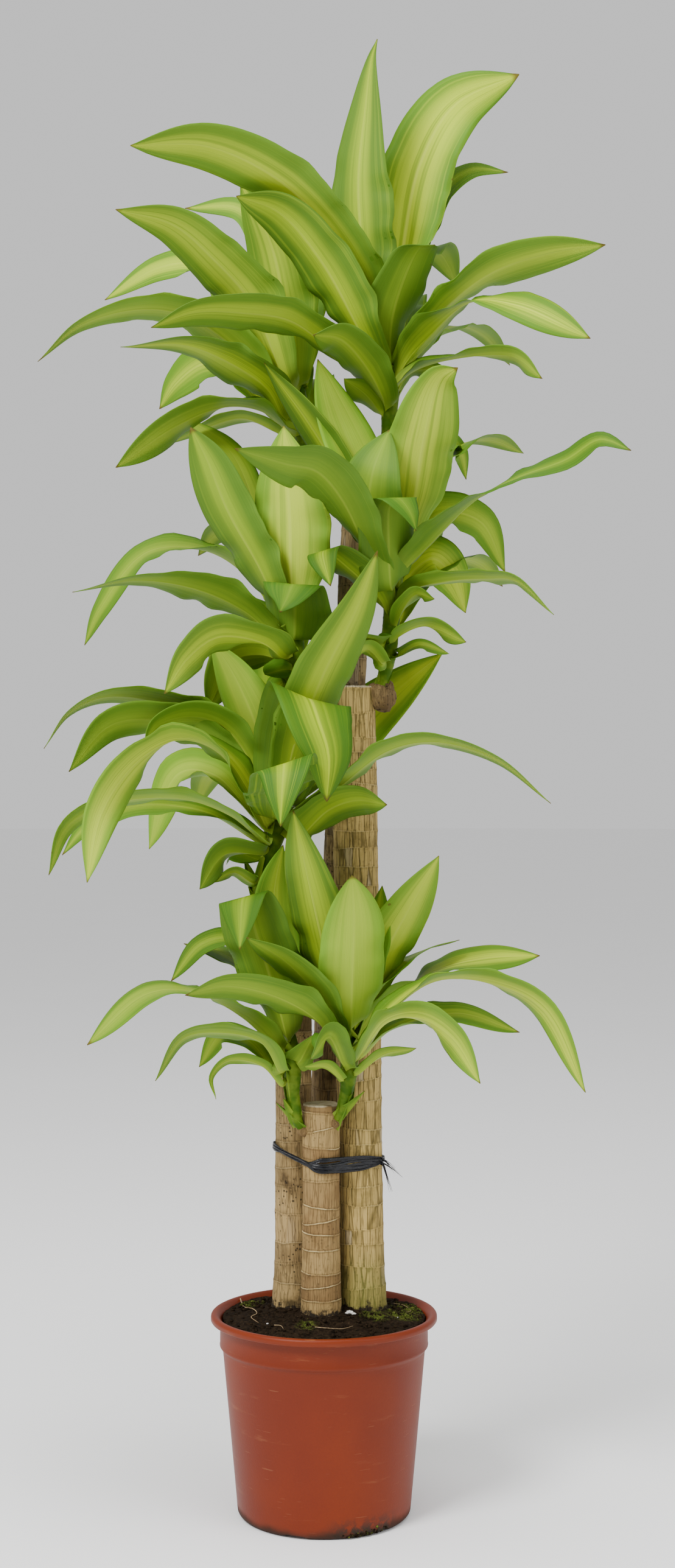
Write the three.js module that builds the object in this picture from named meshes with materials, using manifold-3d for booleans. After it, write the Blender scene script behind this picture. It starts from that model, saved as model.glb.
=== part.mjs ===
// A potted corn plant: four upright canes of stepped height in a tapered nursery pot, with seven
// leafy heads. Millimetres, +Z up, the front faces -Y, the origin is the centre of the pot's underside.

import * as THREE from 'three';
import { mergeVertices } from 'three/addons/utils/BufferGeometryUtils.js';
import Module from 'manifold-3d';

const wasm = await Module();
wasm.setup();

// ---------------------------------------------------------------- driving dimensions

const SEAT_GAP = 0.3;            // between pieces that touch

const POT = {
  height: 239, lipRadius: 135, lipDrop: 9, lipRound: 4, lipRoll: 2, mouthRadius: 126.5,
  collarRadius: 124, collarFoot: 201, stepRadius: 120.6, stepFoot: 196,
  baseRadius: 103.6, edgeRadius: 8, innerEdge: 4, wall: 2.6, floor: 7, sides: 32,
};
const DRAIN = { count: 6, width: 26, height: 3.4, depth: 16, firstAngle: 250 };

const SOIL = { edge: 233, crown: 248, rings: [98, 66, 34], roughness: 1.6, clumpX: 0.11, clumpY: 0.13 };

const CANE = {
  sides: 10, buried: 105,        // how deep a cane stands in the soil
  footBevel: 4, footRise: 8,     // the rounding of its lower end, inwards and upwards
  topBevel: 2.5, topRise: 5,     // the same at its cut top
  scarRidge: 1.1, scarSlope: 9,  // a leaf scar stands proud of the bark, above a slope
  firstScar: 8, lastScar: 14,    // clear of scars above the soil and below the top
};
const CANES = {
  a: { foot: [-3.4, -26], top: [-3.4, -26, 492], radius: 22.4, flare: 2, scarStep: 31 },
  b: { foot: [-37, 12], top: [-37, 12, 724], radius: 22, flare: 4, scarStep: 50 },
  c: { foot: [46, 6], top: [35, 5, 987], radius: 26.4, flare: 3, scarStep: 66 },
  d: { foot: [-11, 58], top: [44, 60, 1240], radius: 20, flare: 2, scarStep: 92 },
};
const KNOB = { centre: [69, 0, 975], radius: 16, stretch: 1.25, lean: 24 };   // stub on the thick cane

const SHOOT = { radius: 10.5, crown: 18, tip: 5, swell: 0.15, thinning: 1.6, rings: 6, sides: 8 };

const TIE = {
  height: 421, band: 12, thickness: 0.8, slack: 0.4, cornerStep: 20,
  rise: 17,                        // the band climbs towards the left
  tails: [{ slant: 62, drop: 0 }, { slant: 84, drop: 6 }], tailLength: 38, tailWidth: 9, bearing: -28,
};

const BLADE = {
  thickness: 0.9, root: 0.18, widest: 0.46, tip: 0.035, tipPower: 2.6, tipTaper: 0.1,
  wave: 0.06,                              // height of a margin's waves, as a share of the width
  rootCup: 48, midCup: 9, tipCup: -7,      // degrees that each half is raised from flat
  rootReach: 0.4,                          // where it starts, as a share of the shoot's radius
  facing: 0.45,                            // where along a leaf its turn holds
};
const SECTIONS = { least: 3, most: 8, spacing: 150, perBend: 0.6, bendWeight: 0.22 };   // of a blade

// Leaves that the front view hides, as ranges from which each takes its own value: degrees of rise at
// the shoot and of droop from there to the tip, width, and share of the head's length.
const BACK = {
  rise: [80, 48], riseSpread: 6, droop: [70, 118], width: [58, 74], reach: [0.85, 1.08],
  steps: 5, droopPower: 1.2, fanStep: 0.618, fanStart: 0.2, twist: 25,
};

// ---------------------------------------------------------------- sight lines

// Shoots and leaves are placed as they are seen from the front: a point is given by where it shows
// in a view of 1109 x 2576 picture points, and by its depth in millimetres behind the pot's axis.
const EYE = new THREE.Vector3(16, -2605, 870);
const VIEW_CENTRE = [554.5, 1288];
const VIEW_FOCAL = 3578;

function seen(px, py, depth) {
  const scale = (depth - EYE.y) / VIEW_FOCAL;
  return new THREE.Vector3(
    EYE.x + (px - VIEW_CENTRE[0]) * scale,
    depth,
    EYE.z + (VIEW_CENTRE[1] - py) * scale,
  );
}

// ---------------------------------------------------------------- heads and leaves

// shoot: route from inside the cane to the top of the crown, as [picture x, picture y, depth].
// crown: the share of the shoot, measured along it, over which the leaves are set.
// leaves, from the top of the crown down: [name, width mm, turn, twist, route]. The turn is the angle
// in degrees between the blade and the picture, 0 where its face is seen in full and 90 edge-on, and
// the twist is how much that angle grows from root to tip, or FOLDS for a blade that folds over. Some
// rows end with the power of a BLUNT or a FINE tip. A route is [picture x, picture y, depth], the depth
// being measured from the shoot's; a point without one lies evenly between its neighbours.
// back: leaves that the front view hides, as how many, and the compass range they fan over.
const FOLDS = 'folds';
const BLUNT = 3.8;
const FINE = 1.5;
const HEADS = [
  {
    name: 'head_d_right', cane: 'd', crown: [0.52, 0.97],
    shoot: [[597, 838, 58], [619, 800, 56], [634, 735, 54], [641, 655, 52], [643, 560, 50]],
    back: { count: 4, from: 56, to: 120, length: 370 },
    leaves: [
      ['centre_tall', 84, 30, 0,
        [[615, 540, -12], [597, 420], [589, 300], [600, 180], [611, 95], [620, 64, -40]], FINE],
      ['right_tall', 94, 20, 0,
        [[652, 540, 4], [664, 400], [692, 265], [748, 172], [853, 122, 60]], BLUNT],
      ['right_back', 56, 60, -30,
        [[668, 520, 24], [695, 400, 56], [726, 316], [775, 279], [835, 283, 80]]],
      ['left_high', 78, 36, -20,
        [[620, 540, -20], [590, 455], [530, 364], [450, 290], [340, 240], [214, 239, -190]], BLUNT],
      ['right_high', 74, 58, -60,
        [[658, 590, -18], [705, 530], [800, 452], [900, 416], [995, 402, -110]]],
      ['front_folded', 76, 36, FOLDS,
        [[641, 590, -20], [643, 530], [662, 462], [688, 408, -85], [714, 402, -125]]],
      ['left_arched', 78, 38, -20,
        [[622, 600, -24], [592, 545], [530, 432], [460, 350], [388, 322, -130]], BLUNT],
      ['right_middle', 76, 98, -160,
        [[668, 595, -26], [705, 553], [770, 497], [850, 502], [970, 556, -170]]],
      ['right_low', 50, 84, -90, [[675, 612, -30], [740, 590], [840, 585], [891, 622, -180]]],
      ['right_small', 34, 40, 0, [[670, 612, -4], [700, 606], [742, 610, -30]]],
      ['left_sliver', 44, 52, 0, [[630, 560, 24], [600, 440, 50], [552, 358], [505, 300, 60]]],
      ['left_long', 70, 50, -10,
        [[612, 645, -14], [560, 590], [480, 528], [400, 514], [320, 513], [248, 538, -210]]],
      ['front_small', 62, 36, 0,
        [[628, 650, -34], [600, 600], [560, 558], [515, 550, -130]], BLUNT],
      ['low_yellow', 40, 30, 0, [[603, 650, -22], [565, 622, -40]]],
    ],
  },
  {
    name: 'head_d_left', cane: 'd', crown: [0.5, 0.97],
    shoot: [[578, 845, 62], [554, 812, 64], [520, 775, 68], [500, 728, 72], [494, 620, 74]],
    back: { count: 4, from: 86, to: 124, length: 360 },
    leaves: [
      ['broad_tall', 84, 26, 0, [[488, 640, -12], [470, 520], [445, 400], [395, 300, -60]]],
      ['back_small', 60, 62, -40, [[480, 600, 14], [440, 430], [395, 345], [304, 342, 40]]],
      ['left_high', 80, 34, -10,
        [[470, 630, -34], [415, 500], [350, 425], [285, 370], [190, 344, -140]]],
      ['left_middle', 62, 60, -50,
        [[455, 640, -18], [375, 500], [330, 437], [260, 440], [172, 493, 90]]],
      ['left_pale', 70, 52, 30,
        [[460, 665, -25], [400, 585], [310, 520], [230, 508], [130, 535], [62, 594, -150]], FINE],
      ['left_front', 72, 50, 50,
        [[470, 690, -18], [440, 640], [370, 592], [300, 566], [198, 570, -130]], FINE],
      ['left_hanging', 72, 46, -40,
        [[450, 690, 8], [390, 610], [335, 598], [290, 630], [262, 672, 110]]],
      ['left_low', 72, 76, -90,
        [[470, 705, -20], [430, 675], [370, 668], [290, 700], [190, 768, -120]]],
      ['left_narrow', 40, 66, 0, [[455, 710, 20], [400, 687], [345, 700], [273, 730, 60]]],
    ],
  },
  {
    name: 'head_c_right', cane: 'c', crown: [0.25, 0.955],
    shoot: [[620, 1150, -2], [631, 1112, -8], [639, 1062, -18], [645, 990, -25], [652, 890, -28]],
    back: { count: 3, from: 36, to: 84, length: 350 },
    leaves: [
      ['broad_tall', 88, 18, 0,
        [[660, 900, -12], [680, 820], [697, 720], [722, 625], [752, 604, -120]]],
      ['pale_behind', 60, 60, 0, [[678, 880, 4], [722, 760], [735, 625, -20]]],
      ['droop_back', 50, 62, -40, [[682, 880, 30], [735, 730], [758, 745], [766, 788, 110]]],
      ['dark_tall', 84, 24, 0,
        [[632, 900, -30], [608, 850, -60], [612, 780, -80], [640, 706, -70]]],
      ['left_pale', 80, 34, 0, [[632, 880, 10], [600, 790], [555, 680], [522, 590, 20]]],
      ['left_bright', 62, 48, -10, [[624, 920, 30], [562, 785], [505, 690], [434, 596, 4]]],
      ['front_folded', 74, 22, FOLDS,
        [[642, 965, -44], [638, 895, -64], [640, 832, -84], [654, 818, -106], [674, 842, -116],
         [684, 872, -118]]],
      ['right_long', 66, 96, -100,
        [[662, 940, -36], [705, 895], [780, 822], [850, 785], [930, 755], [985, 722],
         [1037, 740, -180]]],
      ['right_arched', 66, 46, -30, [[668, 920, 44], [720, 845], [790, 858], [830, 940, 140]]],
      ['right_yellow', 72, 34, -10, [[670, 950, 62], [712, 918], [745, 950], [765, 1007, 110]]],
      ['left_dark', 74, 44, -50,
        [[622, 955, -30], [596, 890], [562, 820], [522, 775], [470, 762], [386, 737, -220]]],
      ['left_folded', 56, 46, FOLDS,
        [[625, 985, -22], [575, 935], [532, 905, -85], [543, 963, -105]]],
      ['right_low', 44, 62, 10,
        [[668, 975, -8], [730, 955], [800, 950], [850, 955], [910, 1010, -210]], FINE],
      ['low_brown', 34, 56, -20, [[662, 1000, -18], [684, 976], [714, 984, -50]]],
      ['low_left', 40, 50, 0, [[628, 1060, -12], [592, 1040, -60]]],
      ['low_small', 46, 78, -80, [[655, 1045, -14], [700, 1028], [766, 1055, -80]]],
      ['low_curl', 30, 50, 0, [[630, 1090, -12], [603, 1066], [562, 1085, -60]]],
      ['low_thin', 26, 56, -20, [[655, 1078, -6], [690, 1060], [738, 1074, 40]]],
    ],
  },
  {
    name: 'head_c_left', cane: 'c', crown: [0.46, 0.96],
    shoot: [[556, 1228, -5], [528, 1200, -16], [500, 1165, -30], [488, 1085, -38], [483, 975, -40]],
    back: { count: 4, from: 94, to: 128, length: 340 },
    leaves: [
      ['broad_tall', 94, 16, 0, [[482, 1000, -20], [478, 940], [476, 850], [466, 700, -50]]],
      ['left_dark', 70, 38, -46,
        [[468, 1010, -24], [420, 920], [375, 840], [340, 755], [313, 702, -50]], BLUNT],
      ['left_back', 60, 58, -20, [[462, 1000, 0], [432, 880], [380, 745], [298, 683, 90]]],
      ['front_folded', 86, 22, FOLDS,
        [[484, 1050, -22], [485, 1010], [482, 960, -52], [470, 985, -70], [460, 1006, -74]]],
      ['left_arched', 64, 80, -80,
        [[460, 1020, 46], [410, 950], [340, 905], [240, 908], [165, 1000], [139, 1060, 180]]],
      ['back_short', 50, 50, 0, [[462, 1030, 45], [400, 975, 80]]],
      ['left_twisted', 62, 56, 50,
        [[462, 1055, -14], [400, 1003], [320, 967], [220, 953], [119, 973, -120]], FINE],
      ['low_left', 66, 56, -50,
        [[465, 1080, -50], [430, 1055], [360, 1046], [310, 1080], [270, 1140, -190]]],
      ['low_back', 66, 44, -20, [[465, 1085, -2], [425, 1075], [385, 1085], [341, 1167, 30]]],
      ['low_dark', 36, 50, 0, [[470, 1100, -16], [435, 1108, -50]]],
      ['low_loop', 36, 40, FOLDS, [[482, 1118, -2], [462, 1126], [470, 1156, -20]]],
    ],
  },
  {
    name: 'head_b', cane: 'b', crown: [0.56, 0.97],
    shoot: [
      [468, 1528, 12], [440, 1508, 8], [424, 1466, 2], [440, 1415, -4], [452, 1375, -8], [455, 1290, -12],
    ],
    back: { count: 5, from: 84, to: 126, length: 350 },
    leaves: [
      ['front_long', 78, 36, 0,
        [[468, 1320, -36], [492, 1210], [530, 1110], [585, 1000], [620, 905, -160]]],
      ['left_pale', 78, 36, 0, [[447, 1320, -20], [430, 1220], [385, 1110], [347, 1050, -60]]],
      ['front_folded', 102, 4, FOLDS,
        [[458, 1330, -38], [472, 1265, -56], [488, 1200, -70], [501, 1158, -80],
         [510, 1149, -114], [524, 1185, -140], [540, 1240, -148], [537, 1317, -148]], BLUNT],
      ['front_dark', 88, 24, FOLDS,
        [[456, 1345, -24], [464, 1300], [467, 1256, -220], [463, 1305, -238], [461, 1358, -244]]],
      ['left_high', 66, 54, 50,
        [[440, 1320, 12], [385, 1236], [316, 1178], [246, 1150], [170, 1145], [112, 1172],
         [72, 1230, -80]], FINE],
      ['left_green', 60, 54, -30,
        [[440, 1340, -18], [408, 1244], [366, 1192], [314, 1176], [258, 1192], [236, 1230, -70]]],
      ['left_second', 66, 56, -50,
        [[438, 1340, 8], [388, 1262], [322, 1206], [256, 1182], [180, 1192], [113, 1268, -70]]],
      ['left_hanging', 72, 86, -160,
        [[440, 1362, -16], [408, 1300], [372, 1247], [330, 1220], [282, 1217], [222, 1255],
         [168, 1335], [143, 1450, -170]]],
      ['back_pale', 66, 50, -40, [[440, 1365, 0], [355, 1275], [290, 1274], [245, 1395, 170]]],
      ['right_long', 54, 70, 0,
        [[482, 1350, -40], [560, 1290], [640, 1232], [720, 1219], [820, 1250],
         [905, 1320, -190]], FINE],
      ['right_behind', 84, 20, -10,
        [[484, 1310, 50], [534, 1250, 168], [592, 1188, 170], [660, 1128], [727, 1073, 90]]],
      ['right_low', 60, 46, -10,
        [[485, 1380, -38], [540, 1330], [590, 1314], [636, 1322, -100]], BLUNT],
      ['left_dark', 48, 78, -70,
        [[440, 1388, -28], [380, 1340], [300, 1312], [180, 1320], [110, 1358], [80, 1438, -100]]],
      ['left_under', 44, 60, -60,
        [[438, 1390, -2], [340, 1335], [220, 1325], [140, 1360], [102, 1405, 20]]],
      ['low_small', 50, 60, -50, [[436, 1402, -14], [370, 1403], [328, 1461, -70]]],
      ['low_folded', 40, 46, FOLDS, [[430, 1412, 14], [385, 1400], [372, 1420, 40]]],
      ['low_thin', 26, 60, -20, [[420, 1450, -8], [385, 1433], [348, 1450, -40]]],
    ],
  },
  {
    name: 'head_a_left', cane: 'a', crown: [0.5, 0.96],
    shoot: [[506, 1864, -30], [489, 1842, -38], [482, 1805, -44], [481, 1765, -47], [480, 1690, -50]],
    back: { count: 1, from: 153, to: 163, length: 230 },
    leaves: [
      ['broad_behind', 72, 38, 0, [[476, 1690, 4], [455, 1560], [450, 1470], [465, 1388, 10]]],
      ['broad_folded', 86, 22, FOLDS,
        [[474, 1710, -14], [452, 1630], [425, 1545], [400, 1474, -62], [394, 1560, -92]]],
      ['left_upper', 56, 80, -80,
        [[466, 1700, 8], [425, 1590], [381, 1543], [330, 1552], [281, 1612, 10]]],
      ['left_twisted', 68, 90, -100,
        [[462, 1730, -18], [400, 1672], [320, 1630], [240, 1634], [143, 1717, -70]]],
      ['right_short', 50, 46, 0, [[490, 1745, -20], [515, 1700, -60]]],
      ['left_low', 46, 70, -10,
        [[460, 1760, -38], [430, 1712], [365, 1696], [300, 1706], [255, 1776, -80]]],
      ['left_small', 44, 56, -40, [[460, 1770, 8], [410, 1712], [366, 1699], [327, 1753, 40]]],
      ['lowest_thin', 24, 60, -10,
        [[464, 1785, -12], [430, 1750], [375, 1742], [347, 1770], [355, 1806, -60]], FINE],
    ],
  },
  {
    name: 'head_a_right', cane: 'a', crown: [0.46, 0.96],
    shoot: [[545, 1850, -34], [561, 1828, -45], [569, 1795, -52], [573, 1762, -57], [577, 1680, -60]],
    back: { count: 1, from: 12, to: 20, length: 220 },
    leaves: [
      ['front_pale', 80, 14, 0,
        [[576, 1690, -26], [579, 1600, -58], [581, 1510, -80], [578, 1438, -92]], BLUNT],
      ['left_tall', 80, 38, 0, [[566, 1690, -4], [540, 1590], [508, 1450], [482, 1332, -78]]],
      ['right_behind', 60, 44, 0, [[590, 1660, -4], [612, 1560], [628, 1455, 4]]],
      ['right_tall', 76, 38, -10, [[602, 1685, 16], [622, 1590], [672, 1492], [721, 1406, -30]]],
      ['left_arched', 62, 60, -20, [[560, 1705, -14], [530, 1645], [470, 1580], [405, 1540, -110]]],
      ['right_high', 70, 84, -100,
        [[598, 1700, 12], [645, 1648], [715, 1596], [800, 1574], [887, 1570, 50]]],
      ['left_long', 62, 56, -20,
        [[556, 1725, -16], [520, 1675], [450, 1636], [370, 1620], [304, 1635, -140]]],
      ['right_long', 62, 86, -100,
        [[600, 1725, -26], [650, 1655], [720, 1610], [820, 1618], [895, 1660], [962, 1795, -180]]],
      ['right_narrow', 46, 60, -40, [[597, 1735, 10], [640, 1693], [750, 1665], [854, 1696, 90]]],
      ['right_bright', 64, 76, -90,
        [[592, 1735, -34], [635, 1680], [690, 1672], [745, 1708], [789, 1780, -190]]],
      ['front_arch', 50, 58, 0, [[562, 1745, -40], [540, 1704], [510, 1740, -120]]],
      ['right_thin', 26, 62, -20, [[588, 1765, -12], [630, 1732], [684, 1722, -70]]],
      ['low_thin', 26, 56, 0, [[562, 1775, -12], [535, 1752], [500, 1752, -60]]],
    ],
  },
];

// ---------------------------------------------------------------- helpers

const UP = new THREE.Vector3(0, 0, 1);
const radians = THREE.MathUtils.degToRad;
const lerp = THREE.MathUtils.lerp;

const FIRST_SEED = 7100;
const SEED_STEP = 37;

// A small repeatable source of numbers from 0 to 1.
function seededDraw(seed) {
  let state = seed;
  return () => {
    state = (state * 16807) % 2147483647;
    return state / 2147483647;
  };
}

function solidFrom(geometry) {
  const bare = geometry.index ? geometry.toNonIndexed() : geometry.clone();
  bare.deleteAttribute('normal');
  bare.deleteAttribute('uv');
  const merged = mergeVertices(bare, 1e-3);
  return new wasm.Manifold(new wasm.Mesh({
    numProp: 3,
    vertProperties: new Float32Array(merged.attributes.position.array),
    triVerts: new Uint32Array(merged.index.array),
  }));
}

function geometryFrom(solid) {
  const mesh = solid.getMesh();
  const geometry = new THREE.BufferGeometry();
  geometry.setAttribute('position', new THREE.BufferAttribute(new Float32Array(mesh.vertProperties), 3));
  geometry.setIndex(new THREE.BufferAttribute(new Uint32Array(mesh.triVerts), 1));
  geometry.computeVertexNormals();
  return geometry;
}

// The largest body of a joined solid: loose scraps go, and a hollow sealed inside is filled.
function mainBody(solid) {
  const bodies = solid.decompose();
  return bodies.reduce((best, body) => (body.volume() > best.volume() ? body : best));
}

function latheOf(outline, sides) {
  const points = outline.map(([radius, height]) => new THREE.Vector2(radius, height));
  const geometry = new THREE.LatheGeometry(points, sides);
  geometry.rotateX(Math.PI / 2);
  return geometry;
}

function placedSolid(geometry, move) {
  const position = geometry.attributes.position;
  const point = new THREE.Vector3();
  for (let i = 0; i < position.count; i += 1) {
    point.fromBufferAttribute(position, i);
    move(point);
    position.setXYZ(i, point.x, point.y, point.z);
  }
  return solidFrom(geometry);
}

// ---------------------------------------------------------------- pot

function potOutline() {
  const { height, lipRadius, lipDrop, lipRound, lipRoll, mouthRadius, collarRadius, collarFoot } = POT;
  const { stepRadius, stepFoot, baseRadius, edgeRadius, innerEdge, wall, floor } = POT;
  const lipFoot = height - lipDrop;
  const roundedEdge = [-90, -60, -30, 0].map((angle) => [
    baseRadius - edgeRadius + edgeRadius * Math.cos(radians(angle)),
    edgeRadius + edgeRadius * Math.sin(radians(angle)),
  ]);
  return [
    [0, 0], ...roundedEdge,
    [stepRadius, stepFoot], [collarRadius, collarFoot], [collarRadius, lipFoot - lipRoll],
    [lipRadius - lipRoll, lipFoot], [lipRadius, lipFoot + lipRoll], [lipRadius, height - lipRound],
    [lipRadius - lipRoll, height - lipRoll], [lipRadius - lipRound, height], [mouthRadius, height - lipRoll],
    [collarRadius - wall, lipFoot], [stepRadius - wall, stepFoot],
    [baseRadius - wall, edgeRadius + floor], [baseRadius - wall - innerEdge, floor], [0, floor],
  ];
}

function drainNotch(angle) {
  const { width, height, depth } = DRAIN;
  const notch = new THREE.BoxGeometry(depth, width, height * 2);
  notch.translate(POT.baseRadius, 0, 0);
  notch.rotateZ(radians(angle));
  return solidFrom(notch);
}

function makePot() {
  let pot = solidFrom(latheOf(potOutline(), POT.sides));
  for (let i = 0; i < DRAIN.count; i += 1) {
    pot = pot.subtract(drainNotch(DRAIN.firstAngle + (i * 360) / DRAIN.count));
  }
  return pot;
}

// ---------------------------------------------------------------- canes

function caneCentre(cane, height) {
  const share = (height - SOIL.edge) / (cane.top[2] - SOIL.edge);
  return [lerp(cane.foot[0], cane.top[0], share), lerp(cane.foot[1], cane.top[1], share)];
}

function leanWith(cane, point) {
  const [x, y] = caneCentre(cane, point.z);
  point.x += x;
  point.y += y;
}

// The outline of the end that stands in the soil, up to where the cane flares at the surface.
function buriedOutline(cane, extra) {
  const foot = SOIL.edge - CANE.buried - extra;
  const radius = cane.radius + extra;
  return [
    [0, foot], [radius - CANE.footBevel, foot], [radius, foot + CANE.footRise],
    [radius + cane.flare, SOIL.edge - CANE.footBevel],
  ];
}

function caneOutline(cane, extra) {
  const top = cane.top[2] + extra;
  const radius = cane.radius + extra;
  const outline = buriedOutline(cane, extra);
  const scarsEnd = cane.top[2] - CANE.lastScar;
  for (let z = SOIL.edge + CANE.firstScar + cane.scarStep; z < scarsEnd; z += cane.scarStep) {
    outline.push([radius, z - CANE.scarSlope], [radius + CANE.scarRidge, z]);
  }
  outline.push([radius, top - CANE.topRise], [radius - CANE.topBevel, top], [0, top]);
  return outline;
}

function makeCane(cane, extra = 0) {
  const stalk = placedSolid(latheOf(caneOutline(cane, extra), CANE.sides), (point) => leanWith(cane, point));
  return cane === CANES.c ? stalk.add(makeKnob(extra)) : stalk;
}

// The plain hole in the soil that a cane stands in.
function caneHole(cane) {
  const above = SOIL.crown + 3 * SOIL.roughness;
  const outline = buriedOutline(cane, SEAT_GAP);
  const mouth = outline[outline.length - 1][0];
  outline.push([mouth, above], [0, above]);
  return placedSolid(latheOf(outline, CANE.sides), (point) => leanWith(cane, point));
}

function makeKnob(extra) {
  const knob = new THREE.SphereGeometry(KNOB.radius + extra, 10, 7);
  knob.scale(1, 1, KNOB.stretch);
  knob.rotateY(radians(-KNOB.lean));
  knob.translate(...KNOB.centre);
  return solidFrom(knob);
}

// ---------------------------------------------------------------- soil

function makeSoil(caneHoles) {
  const gap = SEAT_GAP + 0.05;     // the slanted walls make the gap a little narrower than this
  const wallOutside = (radius) => radius - POT.wall - gap;
  const edgeRadius = wallOutside(POT.collarRadius);
  const outline = [
    [0, POT.floor + gap], [wallOutside(POT.baseRadius) - POT.innerEdge - gap, POT.floor + gap],
    [wallOutside(POT.baseRadius), POT.edgeRadius + POT.floor],
    [wallOutside(POT.stepRadius), POT.stepFoot], [edgeRadius, SOIL.edge],
  ];
  for (const radius of SOIL.rings) {
    outline.push([radius, lerp(SOIL.crown, SOIL.edge, radius / edgeRadius)]);
  }
  outline.push([0, SOIL.crown]);
  const heaped = placedSolid(latheOf(outline, POT.sides), (point) => {
    if (point.z <= SOIL.edge) return;
    point.z += SOIL.roughness * Math.sin(point.x * SOIL.clumpX + 1) * Math.cos(point.y * SOIL.clumpY);
  });
  return caneHoles.reduce((soil, hole) => soil.subtract(hole), heaped);
}

// ---------------------------------------------------------------- tie

// The outline of a band pulled tight round circles, as the hull of the points on them.
function tightOutline(circles) {
  const points = [];
  for (const [x, y, radius] of circles) {
    for (let angle = 0; angle < 360; angle += TIE.cornerStep) {
      points.push([x + radius * Math.cos(radians(angle)), y + radius * Math.sin(radians(angle))]);
    }
  }
  points.sort((p, q) => p[0] - q[0] || p[1] - q[1]);
  const turnsLeft = (a, b, c) => (b[0] - a[0]) * (c[1] - a[1]) - (b[1] - a[1]) * (c[0] - a[0]) > 0;
  const halfHull = (list) => {
    const hull = [];
    for (const point of list) {
      while (hull.length > 1 && !turnsLeft(hull[hull.length - 2], hull[hull.length - 1], point)) hull.pop();
      hull.push(point);
    }
    return hull.slice(0, -1);
  };
  return [...halfHull(points), ...halfHull([...points].reverse())].map(([x, y]) => new THREE.Vector2(x, y));
}

// From a cane's middle to the band where it bends round that cane.
function bandReach(cane, extra) {
  return (cane.radius + CANE.scarRidge + TIE.slack + extra) / Math.cos(radians(TIE.cornerStep / 2));
}

function makeTie() {
  const girth = (extra) => Object.values(CANES).map((cane) => (
    [...caneCentre(cane, TIE.height), bandReach(cane, extra)]
  ));
  const band = new THREE.Shape(tightOutline(girth(TIE.thickness)));
  band.holes.push(new THREE.Path(tightOutline(girth(0))));
  const loop = new THREE.ExtrudeGeometry(band, { depth: TIE.band, bevelEnabled: false });
  loop.translate(0, 0, TIE.height - TIE.band / 2);
  const leftEnd = CANES.b.foot[0] - CANES.b.radius;
  const climbStart = CANES.a.foot[0] - CANES.a.radius / 3;
  const ring = placedSolid(loop, (point) => {
    point.z += TIE.rise * THREE.MathUtils.clamp((point.x - climbStart) / leftEnd, 0, 1);
  });
  return TIE.tails.reduce((tie, tail) => tie.add(makeTail(tail)), ring);
}

// A loose end of the ribbon, which leaves the band at the right of the thick cane.
function makeTail({ slant, drop }) {
  const tail = new THREE.BoxGeometry(TIE.tailLength, TIE.thickness, TIE.tailWidth);
  tail.translate(TIE.tailLength / 2 - TIE.tailWidth / 3, 0, 0);
  tail.rotateY(radians(slant));
  const [x, y] = caneCentre(CANES.c, TIE.height);
  const bearing = radians(TIE.bearing);
  const reach = bandReach(CANES.c, TIE.thickness) + TIE.tailWidth / 2 - TIE.thickness / 2;
  tail.rotateZ(bearing);
  tail.translate(x + reach * Math.cos(bearing), y + reach * Math.sin(bearing), TIE.height - drop);
  return solidFrom(tail);
}

// ---------------------------------------------------------------- leaves

const ROUTE_SAMPLES = 120;

// Half the blade's width at a share of its length, for a blade of width 1.
function halfWidthAt(share, tipPower) {
  if (share < BLADE.widest) {
    const rise = Math.sin((share / BLADE.widest) * (Math.PI / 2));
    return lerp(BLADE.root, 1, rise) / 2;
  }
  const past = (share - BLADE.widest) / (1 - BLADE.widest);
  return Math.max(BLADE.tip, (1 - past ** tipPower) * (1 - BLADE.tipTaper * past)) / 2;
}

function cupAt(share) {
  if (share < BLADE.widest) {
    return radians(lerp(BLADE.rootCup, BLADE.midCup, Math.sqrt(share / BLADE.widest)));
  }
  return radians(lerp(BLADE.midCup, BLADE.tipCup, (share - BLADE.widest) / (1 - BLADE.widest)));
}

// Points, directions and the blade's side directions along a route.
function frameRoute(points, sidesFor) {
  const curve = new THREE.CatmullRomCurve3(points);
  const spots = curve.getSpacedPoints(ROUTE_SAMPLES);
  const last = spots.length - 1;
  const along = spots.map((spot, i) => (
    new THREE.Vector3().subVectors(spots[Math.min(i + 1, last)], spots[Math.max(i - 1, 0)]).normalize()
  ));
  return { spots, along, side: sidesFor(spots, along), length: curve.getLength() };
}

const FACING_SAMPLE = Math.round(BLADE.facing * ROUTE_SAMPLES);

// Side directions carried along without turning from the one that is given, and then twisted.
function carriedSides(along, given, twist) {
  const side = [];
  side[FACING_SAMPLE] = given;
  const carried = (from, to) => from.clone().addScaledVector(to, -from.dot(to)).normalize();
  for (let i = FACING_SAMPLE + 1; i < along.length; i += 1) side[i] = carried(side[i - 1], along[i]);
  for (let i = FACING_SAMPLE - 1; i >= 0; i -= 1) side[i] = carried(side[i + 1], along[i]);
  return side.map((vector, i) => (
    vector.clone().applyAxisAngle(along[i], radians(twist) * ((i - FACING_SAMPLE) / ROUTE_SAMPLES))
  ));
}

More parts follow.
